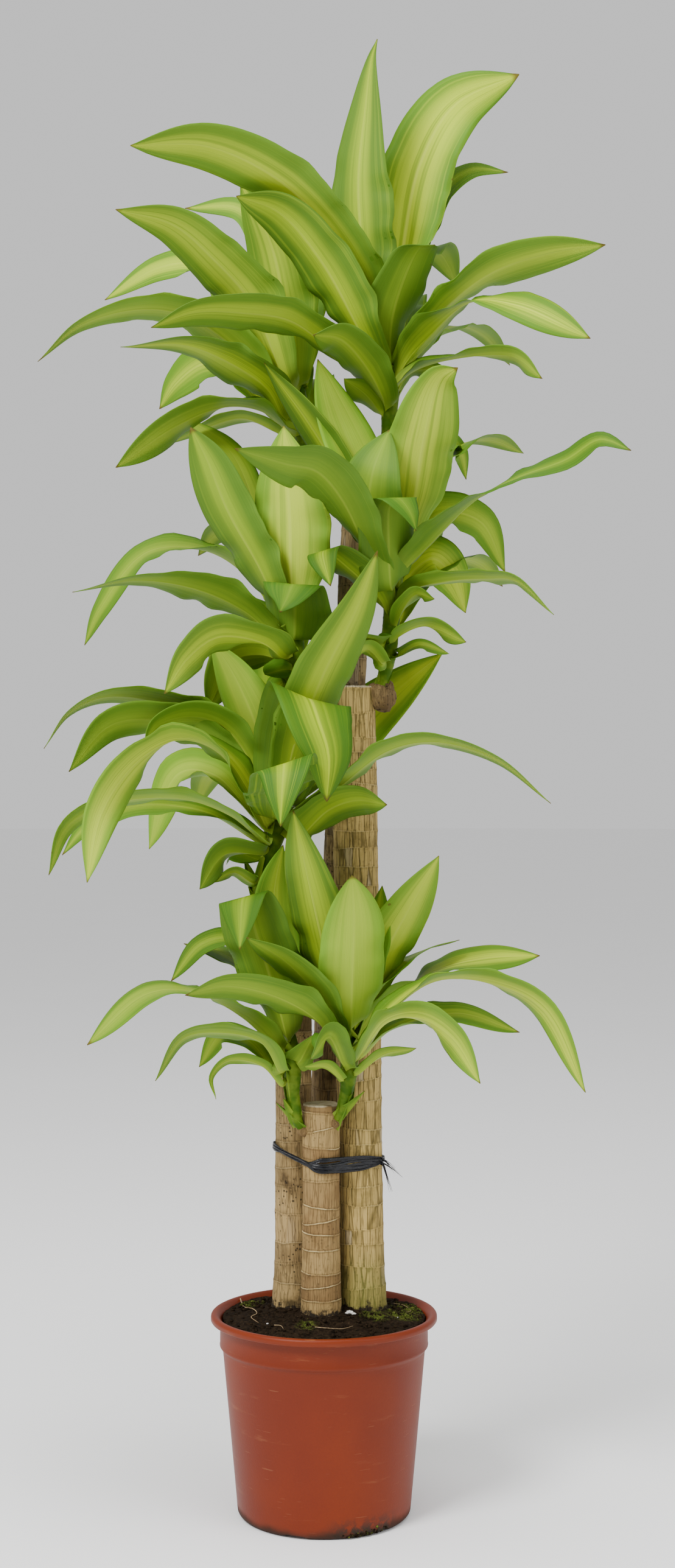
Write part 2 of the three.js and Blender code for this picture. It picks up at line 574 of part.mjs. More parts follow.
// Shares of the length where the blade's cross-sections stand: closer together where it bends.
function sectionStations(frame) {
  const { along } = frame;
  const weight = [0];
  for (let i = 1; i < along.length; i += 1) {
    weight.push(weight[i - 1] + 1 / ROUTE_SAMPLES + along[i].angleTo(along[i - 1]) * SECTIONS.bendWeight);
  }
  const total = weight[weight.length - 1];
  const wanted = Math.round(1 + frame.length / SECTIONS.spacing + total * SECTIONS.perBend);
  const count = THREE.MathUtils.clamp(wanted, SECTIONS.least, SECTIONS.most);
  const stations = [];
  for (let i = 0; i <= count; i += 1) {
    const aim = (total * i) / count;
    stations.push(i === count ? along.length - 1 : weight.findIndex((value) => value >= aim - 1e-9));
  }
  return stations;
}

// A blade: a thin folded strip, six points to a section, its margins waving up and down in turn.
function bladeGeometry(frame, width, wavePattern, tipPower = BLADE.tipPower) {
  const stations = sectionStations(frame);
  const positions = [];
  stations.forEach((station, step) => {
    const share = station / ROUTE_SAMPLES;
    const half = halfWidthAt(share, tipPower) * width;
    const cup = cupAt(share);
    const { spots, along, side } = frame;
    const face = new THREE.Vector3().crossVectors(along[station], side[station]);
    const waveHeight = BLADE.wave * half * 2 * Math.sin(Math.PI * Math.min(1, share * 1.4));
    const wave = step % 2 ? waveHeight : -waveHeight;
    const edge = (sign, waveSign) => spots[station].clone()
      .addScaledVector(side[station], sign * half * Math.cos(cup))
      .addScaledVector(face, half * Math.sin(cup) + wave * waveSign);
    const rib = spots[station].clone();
    const across = [edge(-1, 1), rib, edge(1, wavePattern)];
    const skin = BLADE.thickness / 2;
    const upper = across.map((point) => point.clone().addScaledVector(face, skin));
    const under = across.map((point) => point.clone().addScaledVector(face, -skin));
    for (const point of [...upper, ...under.reverse()]) positions.push(point.x, point.y, point.z);
  });
  return stripGeometry(positions, stations.length);
}

// Closes rings of six points (three above, three below in reverse) into one skin. The quads of the
// two faces are split alike.
function stripGeometry(positions, rings) {
  const index = [];
  const quad = (a, b, c, d, flip) => {
    if (flip) index.push(a, b, d, b, c, d);
    else index.push(a, b, c, a, c, d);
  };
  for (let ring = 0; ring < rings - 1; ring += 1) {
    const here = ring * 6;
    const next = here + 6;
    for (let i = 0; i < 6; i += 1) {
      const j = (i + 1) % 6;
      quad(here + i, here + j, next + j, next + i, i >= 3);
    }
  }
  const cap = (base, outward) => {
    const fan = [[0, 1, 4], [0, 4, 5], [1, 2, 3], [1, 3, 4]];
    for (const [a, b, c] of fan) {
      if (outward) index.push(base + a, base + b, base + c);
      else index.push(base + a, base + c, base + b);
    }
  };
  cap(0, false);
  cap((rings - 1) * 6, true);
  const geometry = new THREE.BufferGeometry();
  geometry.setAttribute('position', new THREE.Float32BufferAttribute(positions, 3));
  geometry.setIndex(index);
  return geometry;
}

function outwardSolid(geometry) {
  const solid = solidFrom(geometry);
  if (solid.volume() > 0) return solid;
  const flipped = geometry.clone();
  const order = Array.from(geometry.index.array);
  for (let i = 0; i < order.length; i += 3) [order[i + 1], order[i + 2]] = [order[i + 2], order[i + 1]];
  flipped.setIndex(order);
  return solidFrom(flipped);
}

// Fills in the depths that a route leaves open, evenly between the neighbours that have one.
function withDepths(route, rootDepth) {
  const known = [[-1, rootDepth]];
  route.forEach((point, i) => {
    if (point.length > 2) known.push([i, point[2]]);
  });
  return route.map(([px, py], i) => {
    const after = known.findIndex(([at]) => at >= i);
    const [from, depthFrom] = known[after - 1];
    const [to, depthTo] = known[after];
    return [px, py, lerp(depthFrom, depthTo, (i - from) / (to - from))];
  });
}

// The side direction of a blade that the front view shows in full.
function fullView(spot, along) {
  const sight = new THREE.Vector3().subVectors(spot, EYE).normalize();
  return new THREE.Vector3().crossVectors(along, sight).normalize();
}

// Of the ways to turn a blade by an angle from full view, the one whose upper face looks more to the
// sky and to the shoot. The sense is that in which a twist makes the blade more edge-on.
function bestTurn(spot, along, turn, outward) {
  const skyward = UP.clone().addScaledVector(outward, -0.8);
  let best = null;
  for (const [angle, sense] of [[turn, 1], [-turn, -1], [180 - turn, -1], [180 + turn, 1]]) {
    const side = fullView(spot, along).applyAxisAngle(along, radians(angle));
    const looks = new THREE.Vector3().crossVectors(along, side).dot(skyward);
    if (!best || looks > best.looks) best = { angle, sense, looks };
  }
  return best;
}

// The sides of a blade that is seen turned by an angle, which its twist changes from root to tip.
// One that folds over keeps the side direction of its middle.
function seenSides(turn, twist, outward) {
  return (spots, along) => {
    const middle = FACING_SAMPLE;
    const { angle, sense } = bestTurn(spots[middle], along[middle], turn, outward);
    const sideAt = (i, extra) => (
      fullView(spots[i], along[i]).applyAxisAngle(along[i], radians(angle + sense * extra))
    );
    if (twist === FOLDS) return carriedSides(along, sideAt(middle, 0), 0);
    return spots.map((spot, i) => sideAt(i, (twist * (i - middle)) / ROUTE_SAMPLES));
  };
}

function pictureLeaf(head, root, row, order) {
  const [, width, turn, twist, route, tipPower] = row;
  const crownDepth = head.shoot[head.shoot.length - 1][2];
  const points = withDepths(route, 0).map(([px, py, depth]) => seen(px, py, crownDepth + depth));
  const tip = points[points.length - 1];
  const outward = new THREE.Vector3(tip.x - root.centre.x, tip.y - root.centre.y, 0).normalize();
  const start = root.centre.clone().addScaledVector(outward, root.reach);
  const frame = frameRoute([start, ...points], seenSides(turn, twist, outward));
  return outwardSolid(bladeGeometry(frame, width, order % 2 ? 1 : -1, tipPower));
}

// A leaf that the front view hides: it rises from the shoot, arches over and hangs.
function backLeaf(root, azimuth, length, rise, droop, width, order) {
  const outward = new THREE.Vector3(Math.cos(radians(azimuth)), Math.sin(radians(azimuth)), 0);
  const points = [root.centre.clone().addScaledVector(outward, root.reach)];
  const stride = length / BACK.steps;
  for (let i = 1; i <= BACK.steps; i += 1) {
    const elevation = radians(rise - droop * ((i - 0.5) / BACK.steps) ** BACK.droopPower);
    points.push(points[i - 1].clone()
      .addScaledVector(outward, Math.cos(elevation) * stride)
      .addScaledVector(UP, Math.sin(elevation) * stride));
  }
  const level = new THREE.Vector3().crossVectors(UP, outward);
  const twist = order % 2 ? BACK.twist : -BACK.twist;
  const frame = frameRoute(points, (spots, along) => carriedSides(along, level, twist));
  return outwardSolid(bladeGeometry(frame, width, order % 2 ? 1 : -1));
}

// ---------------------------------------------------------------- heads

function shootCurve(head) {
  return new THREE.CatmullRomCurve3(head.shoot.map(([px, py, depth]) => seen(px, py, depth)));
}

// A bare stem, which swells to the clasping leaf bases of the crown and thins out above them.
function shootRadius(share, crownFoot) {
  if (share < crownFoot) {
    const swell = THREE.MathUtils.smoothstep(share, crownFoot - SHOOT.swell, crownFoot);
    return lerp(SHOOT.radius, SHOOT.crown, swell);
  }
  return lerp(SHOOT.crown, SHOOT.tip, ((share - crownFoot) / (1 - crownFoot)) ** SHOOT.thinning);
}

// The green shoot: a round section carried along its route.
function makeShoot(head) {
  const curve = shootCurve(head);
  const outline = [[0, 0]];
  for (let i = 0; i <= SHOOT.rings; i += 1) {
    const share = i / SHOOT.rings;
    outline.push([shootRadius(share, head.crown[0]), share]);
  }
  outline.push([0, 1]);
  const sideways = new THREE.Vector3(0, 1, 0);
  return placedSolid(latheOf(outline, SHOOT.sides), (point) => {
    const share = THREE.MathUtils.clamp(point.z, 0, 1);
    const along = curve.getTangentAt(share);
    const across = new THREE.Vector3().crossVectors(sideways, along).normalize();
    const through = new THREE.Vector3().crossVectors(along, across);
    const centre = curve.getPointAt(share);
    const { x, y } = point;
    point.copy(centre).addScaledVector(across, x).addScaledVector(through, y);
  });
}

function leavesOf(head, seed) {
  const draw = seededDraw(seed);
  const curve = shootCurve(head);
  const [low, high] = head.crown;
  const rootAt = (share) => {
    const along = lerp(high, low, share);
    return { centre: curve.getPointAt(along), reach: BLADE.rootReach * shootRadius(along, low) };
  };
  const leaves = head.leaves.map((row, i) => {
    const root = rootAt(i / head.leaves.length);
    return { name: row[0], solid: pictureLeaf(head, root, row, i) };
  });
  const { count, from, to, length } = head.back;
  for (let i = 0; i < count; i += 1) {
    const root = rootAt((i + 0.5) / count);
    const azimuth = lerp(from, to, (i * BACK.fanStep + BACK.fanStart) % 1);
    const rise = lerp(...BACK.rise, i / count) + BACK.riseSpread * draw();
    const droop = lerp(...BACK.droop, draw());
    const width = lerp(...BACK.width, draw());
    const reach = length * lerp(...BACK.reach, draw());
    const solid = backLeaf(root, azimuth, reach, rise, droop, width, i);
    leaves.push({ name: `back_${i + 1}`, solid });
  }
  return leaves;
}

function makeHead(head, seed) {
  const whole = leavesOf(head, seed).reduce((sum, leaf) => sum.add(leaf.solid), makeShoot(head));
  const cane = makeCane(CANES[head.cane], SEAT_GAP);
  return mainBody(whole.subtract(cane));
}

// ---------------------------------------------------------------- the plant

const FINISH = {
  pot: { color: 0x8f4a38, roughness: 0.55, metalness: 0 },
  soil: { color: 0x2a211c, roughness: 0.95, metalness: 0 },
  bark: { color: 0x9a8263, roughness: 0.85, metalness: 0 },
  leaf: { color: 0x6f8f3a, roughness: 0.42, metalness: 0 },
  tie: { color: 0x15161a, roughness: 0.3, metalness: 0 },
};

function meshOf(name, solid, finish) {
  const mesh = new THREE.Mesh(geometryFrom(solid), new THREE.MeshStandardMaterial(FINISH[finish]));
  mesh.name = name;
  return mesh;
}

const plant = new THREE.Group();
plant.name = 'potted_corn_plant';
plant.add(meshOf('pot', makePot(), 'pot'));
plant.add(meshOf('soil', makeSoil(Object.values(CANES).map(caneHole)), 'soil'));
for (const [letter, cane] of Object.entries(CANES)) {
  plant.add(meshOf(`cane_${letter}`, makeCane(cane), 'bark'));
}
HEADS.forEach((head, i) => plant.add(meshOf(head.name, makeHead(head, FIRST_SEED + i * SEED_STEP), 'leaf')));
plant.add(meshOf('tie', makeTie(), 'tie'));

export default plant;
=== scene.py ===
"""A potted corn plant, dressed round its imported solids: metres, +Z up, the front faces -Y."""

import math
import random
from types import SimpleNamespace as Named

import bpy
import numpy as np
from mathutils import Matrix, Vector, noise


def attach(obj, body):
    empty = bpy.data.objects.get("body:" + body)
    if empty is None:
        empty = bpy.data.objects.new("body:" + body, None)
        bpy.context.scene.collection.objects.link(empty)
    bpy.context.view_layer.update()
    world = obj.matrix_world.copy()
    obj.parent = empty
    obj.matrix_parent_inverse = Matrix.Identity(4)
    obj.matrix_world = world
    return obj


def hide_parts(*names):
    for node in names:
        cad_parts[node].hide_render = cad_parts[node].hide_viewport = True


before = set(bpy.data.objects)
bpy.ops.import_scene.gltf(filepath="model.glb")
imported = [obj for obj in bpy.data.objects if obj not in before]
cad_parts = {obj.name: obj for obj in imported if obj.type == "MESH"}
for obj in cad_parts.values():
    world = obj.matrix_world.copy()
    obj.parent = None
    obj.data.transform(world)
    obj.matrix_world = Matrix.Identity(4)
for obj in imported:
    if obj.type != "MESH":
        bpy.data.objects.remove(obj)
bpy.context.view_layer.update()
BODY = "root"
MM = 0.001

# ---- driving dimensions, mm

POT = Named(height=239, lip=135, lip_drop=9, lip_round=4, mouth=126.5, collar=124, collar_foot=201,
            step=120.6, step_foot=196, base=103.6, edge=8, inner_edge=4, wall=2.6, floor=7, sides=144)
DRAIN = Named(count=6, width=26, height=3.4, depth=16, first_angle=250)
SOIL = Named(edge=233, crown=248, radius=120.6, cell=2.2)
BURIED = 105
CANES = {
    "a": Named(foot=(-3.4, -26), top=(-3.4, -26, 492), radius=22.4, flare=2),
    "b": Named(foot=(-37, 12), top=(-37, 12, 724), radius=22, flare=4),
    "c": Named(foot=(46, 6), top=(35, 5, 987), radius=26.4, flare=3),
    "d": Named(foot=(-11, 58), top=(44, 60, 1240), radius=20, flare=2),
}
KNOB = Named(centre=(69, 0, 975), radius=16, stretch=1.25, lean=24)
SHOOT = Named(radius=10.5, crown=18, tip=5, swell=0.15, thinning=1.6, pull=0.8)
TIE = Named(height=421, slack=0.4, ridge=1.1, rise=17, tail=38)
BLADE = Named(thickness=0.9, root=0.18, widest=0.46, tip_power=2.6, tip_taper=0.1, wave=0.06,
              root_cup=48, mid_cup=9, tip_cup=-7, root_reach=0.4, facing=0.45)
SECTIONS = Named(least=3, most=8, spacing=150, per_bend=0.6, bend_weight=0.22)
BACK = Named(rise=(80, 48), rise_spread=6, droop=(70, 118), width=(58, 74), reach=(0.85, 1.08),
             steps=5, droop_power=1.2, fan_step=0.618, fan_start=0.2, twist=25)
FIRST_SEED, SEED_STEP = 7100, 37

# The front view that leaves and shoots are placed in: 1109 x 2576 picture points.
EYE = np.array([16.0, -2605.0, 870.0])
VIEW_CENTRE = (554.5, 1288.0)
VIEW_FOCAL = 3578.0

UP, BACKWARD = np.array([0.0, 0.0, 1.0]), np.array([0.0, 1.0, 0.0])

# ---- heads and leaves

FOLDS = "folds"                             # in place of a twist: the blade folds at its bend
BLUNT, FINE = 3.8, 1.5                      # powers of the tip
PLAIN = (0.34, 0.4, 0.6)                    # the usual look
HEADS = []


def add_head(name, cane, crown, back, shoot, **leaves):
    """Notes down one head. Its leaves run from the top down, under the names they have in part.mjs.

    shoot: route from inside the cane to the top of the crown, as (picture x, picture y, depth).
    crown: the share of the shoot over which the leaves are set.
    back: leaves that the front view hides, as how many, the two bearings they fan between, and length.
    A leaf: width, turn (0 seen in full, 90 edge-on), twist, look, route, and the power of its tip if it
    isn't the usual one. Depths in the route are measured from the top of the shoot, and a depth that is
    left out lies evenly between its neighbours. The look is tone (0 deep green, 1 pale lime), half-width
    of the yellow centre, and how clearly that centre shows. Low tones are partly painted shade: leaves
    that lie in the crown's shade are given deeper tones.
    """
    HEADS.append(Named(name=name, cane=CANES[cane], crown=crown, back=back, shoot=shoot, leaves=leaves))


add_head(
    "head_d_right", "d", crown=(0.52, 0.97), back=(4, 56, 120, 370),
    shoot=[(597, 838, 58), (619, 800, 56), (634, 735, 54), (641, 655, 52), (643, 560, 50)],
    centre_tall=(84, 30, 0, (0.08, 0.28, 0.8), [(615, 540, -12), (597, 420), (589, 300), (600, 180),
        (611, 95), (620, 64, -40)], FINE),
    right_tall=(94, 20, 0, (0.3, 0.46, 0.95), [(652, 540, 4), (664, 400), (692, 265), (748, 172),
        (853, 122, 60)], BLUNT),
    right_back=(56, 60, -30, (0.3, 0.3, 0.4), [(668, 520, 24), (695, 400, 56), (726, 316), (775, 279),
        (835, 283, 80)]),
    left_high=(78, 36, -20, (0.28, 0.4, 0.95), [(620, 540, -20), (590, 455), (530, 364), (450, 290),
        (340, 240), (214, 239, -190)], BLUNT),
    right_high=(74, 58, -60, (0.32, 0.42, 0.85), [(658, 590, -18), (705, 530), (800, 452), (900, 416),
        (995, 402, -110)]),
    front_folded=(76, 36, FOLDS, (0.1, 0.35, 0.5), [(641, 590, -20), (643, 530), (662, 462),
        (688, 408, -85), (714, 402, -125)]),
    left_arched=(78, 38, -20, (0.15, 0.35, 0.85), [(622, 600, -24), (592, 545), (530, 432), (460, 350),
        (388, 322, -130)], BLUNT),
    right_middle=(76, 98, -160, (0.25, 0.4, 0.9), [(668, 595, -26), (705, 553), (770, 497), (850, 502),
        (970, 556, -170)]),
    right_low=(50, 84, -90, PLAIN, [(675, 612, -30), (740, 590), (840, 585), (891, 622, -180)]),
    right_small=(34, 40, 0, PLAIN, [(670, 612, -4), (700, 606), (742, 610, -30)]),
    left_sliver=(44, 52, 0, PLAIN, [(630, 560, 24), (600, 440, 50), (552, 358), (505, 300, 60)]),
    left_long=(70, 50, -10, (0.26, 0.38, 0.8), [(612, 645, -14), (560, 590), (480, 528), (400, 514),
        (320, 513), (248, 538, -210)]),
    front_small=(62, 36, 0, (0.2, 0.35, 0.7), [(628, 650, -34), (600, 600), (560, 558), (515, 550, -130)],
        BLUNT),
    low_yellow=(40, 30, 0, PLAIN, [(603, 650, -22), (565, 622, -40)]))
add_head(
    "head_d_left", "d", crown=(0.5, 0.97), back=(4, 86, 124, 360),
    shoot=[(578, 845, 62), (554, 812, 64), (520, 775, 68), (500, 728, 72), (494, 620, 74)],
    broad_tall=(84, 26, 0, (0.4, 0.4, 0.9), [(488, 640, -12), (470, 520), (445, 400), (395, 300, -60)]),
    back_small=(60, 62, -40, PLAIN, [(480, 600, 14), (440, 430), (395, 345), (304, 342, 40)]),
    left_high=(80, 34, -10, (0.35, 0.42, 0.9), [(470, 630, -34), (415, 500), (350, 425), (285, 370),
        (190, 344, -140)]),
    left_middle=(62, 60, -50, (0.35, 0.35, 0.8), [(455, 640, -18), (375, 500), (330, 437), (260, 440),
        (172, 493, 90)]),
    left_pale=(70, 52, 30, (0.5, 0.4, 0.6), [(460, 665, -25), (400, 585), (310, 520), (230, 508),
        (130, 535), (62, 594, -150)], FINE),
    left_front=(72, 50, 50, (0.16, 0.4, 0.95), [(470, 690, -18), (440, 640), (370, 592), (300, 566),
        (198, 570, -130)], FINE),
    left_hanging=(72, 46, -40, (0.4, 0.4, 0.7), [(450, 690, 8), (390, 610), (335, 598), (290, 630),
        (262, 672, 110)]),
    left_low=(72, 76, -90, PLAIN, [(470, 705, -20), (430, 675), (370, 668), (290, 700),
        (190, 768, -120)]),
    left_narrow=(40, 66, 0, PLAIN, [(455, 710, 20), (400, 687), (345, 700), (273, 730, 60)]))
add_head(
    "head_c_right", "c", crown=(0.25, 0.955), back=(3, 36, 84, 350),
    shoot=[(620, 1150, -2), (631, 1112, -8), (639, 1062, -18), (645, 990, -25), (652, 890, -28)],
    broad_tall=(88, 18, 0, (0.6, 0.55, 0.9), [(660, 900, -12), (680, 820), (697, 720), (722, 625),
        (752, 604, -120)]),
    pale_behind=(60, 60, 0, (0.6, 0.5, 0.6), [(678, 880, 4), (722, 760), (735, 625, -20)]),
    droop_back=(50, 62, -40, PLAIN, [(682, 880, 30), (735, 730), (758, 745), (766, 788, 110)]),
    dark_tall=(84, 24, 0, (0.0, 0.34, 0.45), [(632, 900, -30), (608, 850, -60), (612, 780, -80),
        (640, 706, -70)]),
    left_pale=(80, 34, 0, (0.85, 0.62, 0.45), [(632, 880, 10), (600, 790), (555, 680), (522, 590, 20)]),
    left_bright=(62, 48, -10, (0.1, 0.26, 1.0), [(624, 920, 30), (562, 785), (505, 690), (434, 596, 4)]),
    front_folded=(74, 22, FOLDS, (0.0, 0.3, 0.4), [(642, 965, -44), (638, 895, -64), (640, 832, -84),
        (654, 818, -106), (674, 842, -116), (684, 872, -118)]),
    right_long=(66, 96, -100, (0.06, 0.3, 0.5), [(662, 940, -36), (705, 895), (780, 822), (850, 785),
        (930, 755), (985, 722), (1037, 740, -180)]),
    right_arched=(66, 46, -30, (0.3, 0.46, 0.65), [(668, 920, 44), (720, 845), (790, 858),
        (830, 940, 140)]),
    right_yellow=(72, 34, -10, (0.42, 0.5, 0.8), [(670, 950, 62), (712, 918), (745, 950),
        (765, 1007, 110)]),
    left_dark=(74, 44, -50, (0.05, 0.32, 0.45), [(622, 955, -30), (596, 890), (562, 820), (522, 775),
        (470, 762), (386, 737, -220)]),
    left_folded=(56, 46, FOLDS, (0.02, 0.35, 0.7), [(625, 985, -22), (575, 935), (532, 905, -85),
        (543, 963, -105)]),
    right_low=(44, 62, 10, PLAIN, [(668, 975, -8), (730, 955), (800, 950), (850, 955), (910, 1010, -210)],
        FINE),
    low_brown=(34, 56, -20, PLAIN, [(662, 1000, -18), (684, 976), (714, 984, -50)]),
    low_left=(40, 50, 0, (0.1, 0.3, 0.6), [(628, 1060, -12), (592, 1040, -60)]),
    low_small=(46, 78, -80, (0.25, 0.4, 0.7), [(655, 1045, -14), (700, 1028), (766, 1055, -80)]),
    low_curl=(30, 50, 0, PLAIN, [(630, 1090, -12), (603, 1066), (562, 1085, -60)]),
    low_thin=(26, 56, -20, PLAIN, [(655, 1078, -6), (690, 1060), (738, 1074, 40)]))
add_head(
    "head_c_left", "c", crown=(0.46, 0.96), back=(4, 94, 128, 340),
    shoot=[(556, 1228, -5), (528, 1200, -16), (500, 1165, -30), (488, 1085, -38), (483, 975, -40)],
    broad_tall=(94, 16, 0, (0.62, 0.5, 0.85), [(482, 1000, -20), (478, 940), (476, 850),
        (466, 700, -50)]),
    left_dark=(70, 38, -46, (0.06, 0.3, 0.7), [(468, 1010, -24), (420, 920), (375, 840), (340, 755),
        (313, 702, -50)], BLUNT),
    left_back=(60, 58, -20, (0.6, 0.5, 0.5), [(462, 1000, 0), (432, 880), (380, 745), (298, 683, 90)]),
    front_folded=(86, 22, FOLDS, (0.0, 0.2, 0.4), [(484, 1050, -22), (485, 1010), (482, 960, -52),
        (470, 985, -70), (460, 1006, -74)]),
    left_arched=(64, 80, -80, (0.3, 0.42, 0.5), [(460, 1020, 46), (410, 950), (340, 905), (240, 908),
        (165, 1000), (139, 1060, 180)]),
    back_short=(50, 50, 0, PLAIN, [(462, 1030, 45), (400, 975, 80)]),
    left_twisted=(62, 56, 50, (0.22, 0.4, 0.5), [(462, 1055, -14), (400, 1003), (320, 967), (220, 953),
        (119, 973, -120)], FINE),
    low_left=(66, 56, -50, (0.18, 0.45, 0.8), [(465, 1080, -50), (430, 1055), (360, 1046), (310, 1080),
        (270, 1140, -190)]),
    low_back=(66, 44, -20, (0.25, 0.5, 0.7), [(465, 1085, -2), (425, 1075), (385, 1085),
        (341, 1167, 30)]),
    low_dark=(36, 50, 0, (0.06, 0.2, 0.4), [(470, 1100, -16), (435, 1108, -50)]),
    low_loop=(36, 40, FOLDS, (0.2, 0.4, 0.7), [(482, 1118, -2), (462, 1126), (470, 1156, -20)]))
add_head(
    "head_b", "b", crown=(0.56, 0.97), back=(5, 84, 126, 350),
    shoot=[(468, 1528, 12), (440, 1508, 8), (424, 1466, 2), (440, 1415, -4), (452, 1375, -8),
           (455, 1290, -12)],
    front_long=(78, 36, 0, (0.24, 0.35, 0.8), [(468, 1320, -36), (492, 1210), (530, 1110), (585, 1000),
        (620, 905, -160)]),
    left_pale=(78, 36, 0, (0.75, 0.6, 0.5), [(447, 1320, -20), (430, 1220), (385, 1110),
        (347, 1050, -60)]),
    front_folded=(102, 4, FOLDS, (0.1, 0.3, 0.95), [(458, 1330, -38), (472, 1265, -56), (488, 1200, -70),
        (501, 1158, -80), (510, 1149, -114), (524, 1185, -140), (540, 1240, -148), (537, 1317, -148)],
        BLUNT),
    front_dark=(88, 24, FOLDS, (0.0, 0.14, 0.95), [(456, 1345, -24), (464, 1300), (467, 1256, -220),
        (463, 1305, -238), (461, 1358, -244)]),
    left_high=(66, 54, 50, (0.42, 0.42, 0.6), [(440, 1320, 12), (385, 1236), (316, 1178), (246, 1150),
        (170, 1145), (112, 1172), (72, 1230, -80)], FINE),
    left_green=(60, 54, -30, PLAIN, [(440, 1340, -18), (408, 1244), (366, 1192), (314, 1176), (258, 1192),
        (236, 1230, -70)]),
    left_second=(66, 56, -50, (0.3, 0.4, 0.5), [(438, 1340, 8), (388, 1262), (322, 1206), (256, 1182),
        (180, 1192), (113, 1268, -70)]),
    left_hanging=(72, 86, -160, (0.5, 0.46, 1.0), [(440, 1362, -16), (408, 1300), (372, 1247),
        (330, 1220), (282, 1217), (222, 1255), (168, 1335), (143, 1450, -170)]),
    back_pale=(66, 50, -40, (0.6, 0.5, 0.5), [(440, 1365, 0), (355, 1275), (290, 1274),
        (245, 1395, 170)]),
    right_long=(54, 70, 0, PLAIN, [(482, 1350, -40), (560, 1290), (640, 1232), (720, 1219), (820, 1250),
        (905, 1320, -190)], FINE),
    right_behind=(84, 20, -10, (0.5, 0.42, 0.8), [(484, 1310, 50), (534, 1250, 168), (592, 1188, 170),
        (660, 1128), (727, 1073, 90)]),
    right_low=(60, 46, -10, (0.15, 0.35, 0.7), [(485, 1380, -38), (540, 1330), (590, 1314),
        (636, 1322, -100)], BLUNT),
    left_dark=(48, 78, -70, PLAIN, [(440, 1388, -28), (380, 1340), (300, 1312), (180, 1320), (110, 1358),
        (80, 1438, -100)]),
    left_under=(44, 60, -60, PLAIN, [(438, 1390, -2), (340, 1335), (220, 1325), (140, 1360),
        (102, 1405, 20)]),
    low_small=(50, 60, -50, (0.12, 0.35, 0.5), [(436, 1402, -14), (370, 1403), (328, 1461, -70)]),
    low_folded=(40, 46, FOLDS, (0.15, 0.3, 0.5), [(430, 1412, 14), (385, 1400), (372, 1420, 40)]),
    low_thin=(26, 60, -20, PLAIN, [(420, 1450, -8), (385, 1433), (348, 1450, -40)]))
add_head(
    "head_a_left", "a", crown=(0.5, 0.96), back=(1, 153, 163, 230),
    shoot=[(506, 1864, -30), (489, 1842, -38), (482, 1805, -44), (481, 1765, -47), (480, 1690, -50)],
    broad_behind=(72, 38, 0, (0.45, 0.4, 0.6), [(476, 1690, 4), (455, 1560), (450, 1470),
        (465, 1388, 10)]),
    broad_folded=(86, 22, FOLDS, (0.08, 0.35, 0.6), [(474, 1710, -14), (452, 1630), (425, 1545),
        (400, 1474, -62), (394, 1560, -92)]),
    left_upper=(56, 80, -80, (0.25, 0.35, 0.6), [(466, 1700, 8), (425, 1590), (381, 1543), (330, 1552),
        (281, 1612, 10)]),
    left_twisted=(68, 90, -100, (0.4, 0.5, 0.5), [(462, 1730, -18), (400, 1672), (320, 1630), (240, 1634),
        (143, 1717, -70)]),
    right_short=(50, 46, 0, (0.15, 0.4, 0.5), [(490, 1745, -20), (515, 1700, -60)]),
    left_low=(46, 70, -10, (0.2, 0.4, 0.5), [(460, 1760, -38), (430, 1712), (365, 1696), (300, 1706),
        (255, 1776, -80)]),
    left_small=(44, 56, -40, PLAIN, [(460, 1770, 8), (410, 1712), (366, 1699), (327, 1753, 40)]),
    lowest_thin=(24, 60, -10, PLAIN, [(464, 1785, -12), (430, 1750), (375, 1742), (347, 1770),
        (355, 1806, -60)], FINE))
add_head(
    "head_a_right", "a", crown=(0.46, 0.96), back=(1, 12, 20, 220),
    shoot=[(545, 1850, -34), (561, 1828, -45), (569, 1795, -52), (573, 1762, -57), (577, 1680, -60)],
    front_pale=(80, 14, 0, (0.72, 0.6, 0.5), [(576, 1690, -26), (579, 1600, -58), (581, 1510, -80),
        (578, 1438, -92)], BLUNT),
    left_tall=(80, 38, 0, (0.2, 0.42, 0.95), [(566, 1690, -4), (540, 1590), (508, 1450),
        (482, 1332, -78)]),
    right_behind=(60, 44, 0, (0.5, 0.42, 0.8), [(590, 1660, -4), (612, 1560), (628, 1455, 4)]),
    right_tall=(76, 38, -10, (0.5, 0.45, 0.95), [(602, 1685, 16), (622, 1590), (672, 1492),
        (721, 1406, -30)]),
    left_arched=(62, 60, -20, (0.12, 0.3, 0.5), [(560, 1705, -14), (530, 1645), (470, 1580),
        (405, 1540, -110)]),
    right_high=(70, 84, -100, (0.42, 0.42, 0.95), [(598, 1700, 12), (645, 1648), (715, 1596), (800, 1574),
        (887, 1570, 50)]),
    left_long=(62, 56, -20, (0.14, 0.42, 0.55), [(556, 1725, -16), (520, 1675), (450, 1636), (370, 1620),
        (304, 1635, -140)]),
    right_long=(62, 86, -100, (0.45, 0.46, 0.95), [(600, 1725, -26), (650, 1655), (720, 1610),
        (820, 1618), (895, 1660), (962, 1795, -180)]),
    right_narrow=(46, 60, -40, PLAIN, [(597, 1735, 10), (640, 1693), (750, 1665), (854, 1696, 90)]),
    right_bright=(64, 76, -90, (0.36, 0.46, 1.0), [(592, 1735, -34), (635, 1680), (690, 1672),
        (745, 1708), (789, 1780, -190)]),
    front_arch=(50, 58, 0, (0.1, 0.35, 0.5), [(562, 1745, -40), (540, 1704), (510, 1740, -120)]),
    right_thin=(26, 62, -20, PLAIN, [(588, 1765, -12), (630, 1732), (684, 1722, -70)]),
    low_thin=(26, 56, 0, PLAIN, [(562, 1775, -12), (535, 1752), (500, 1752, -60)]))

# ---- small helpers


def lerp(a, b, t):
    return a + (b - a) * t


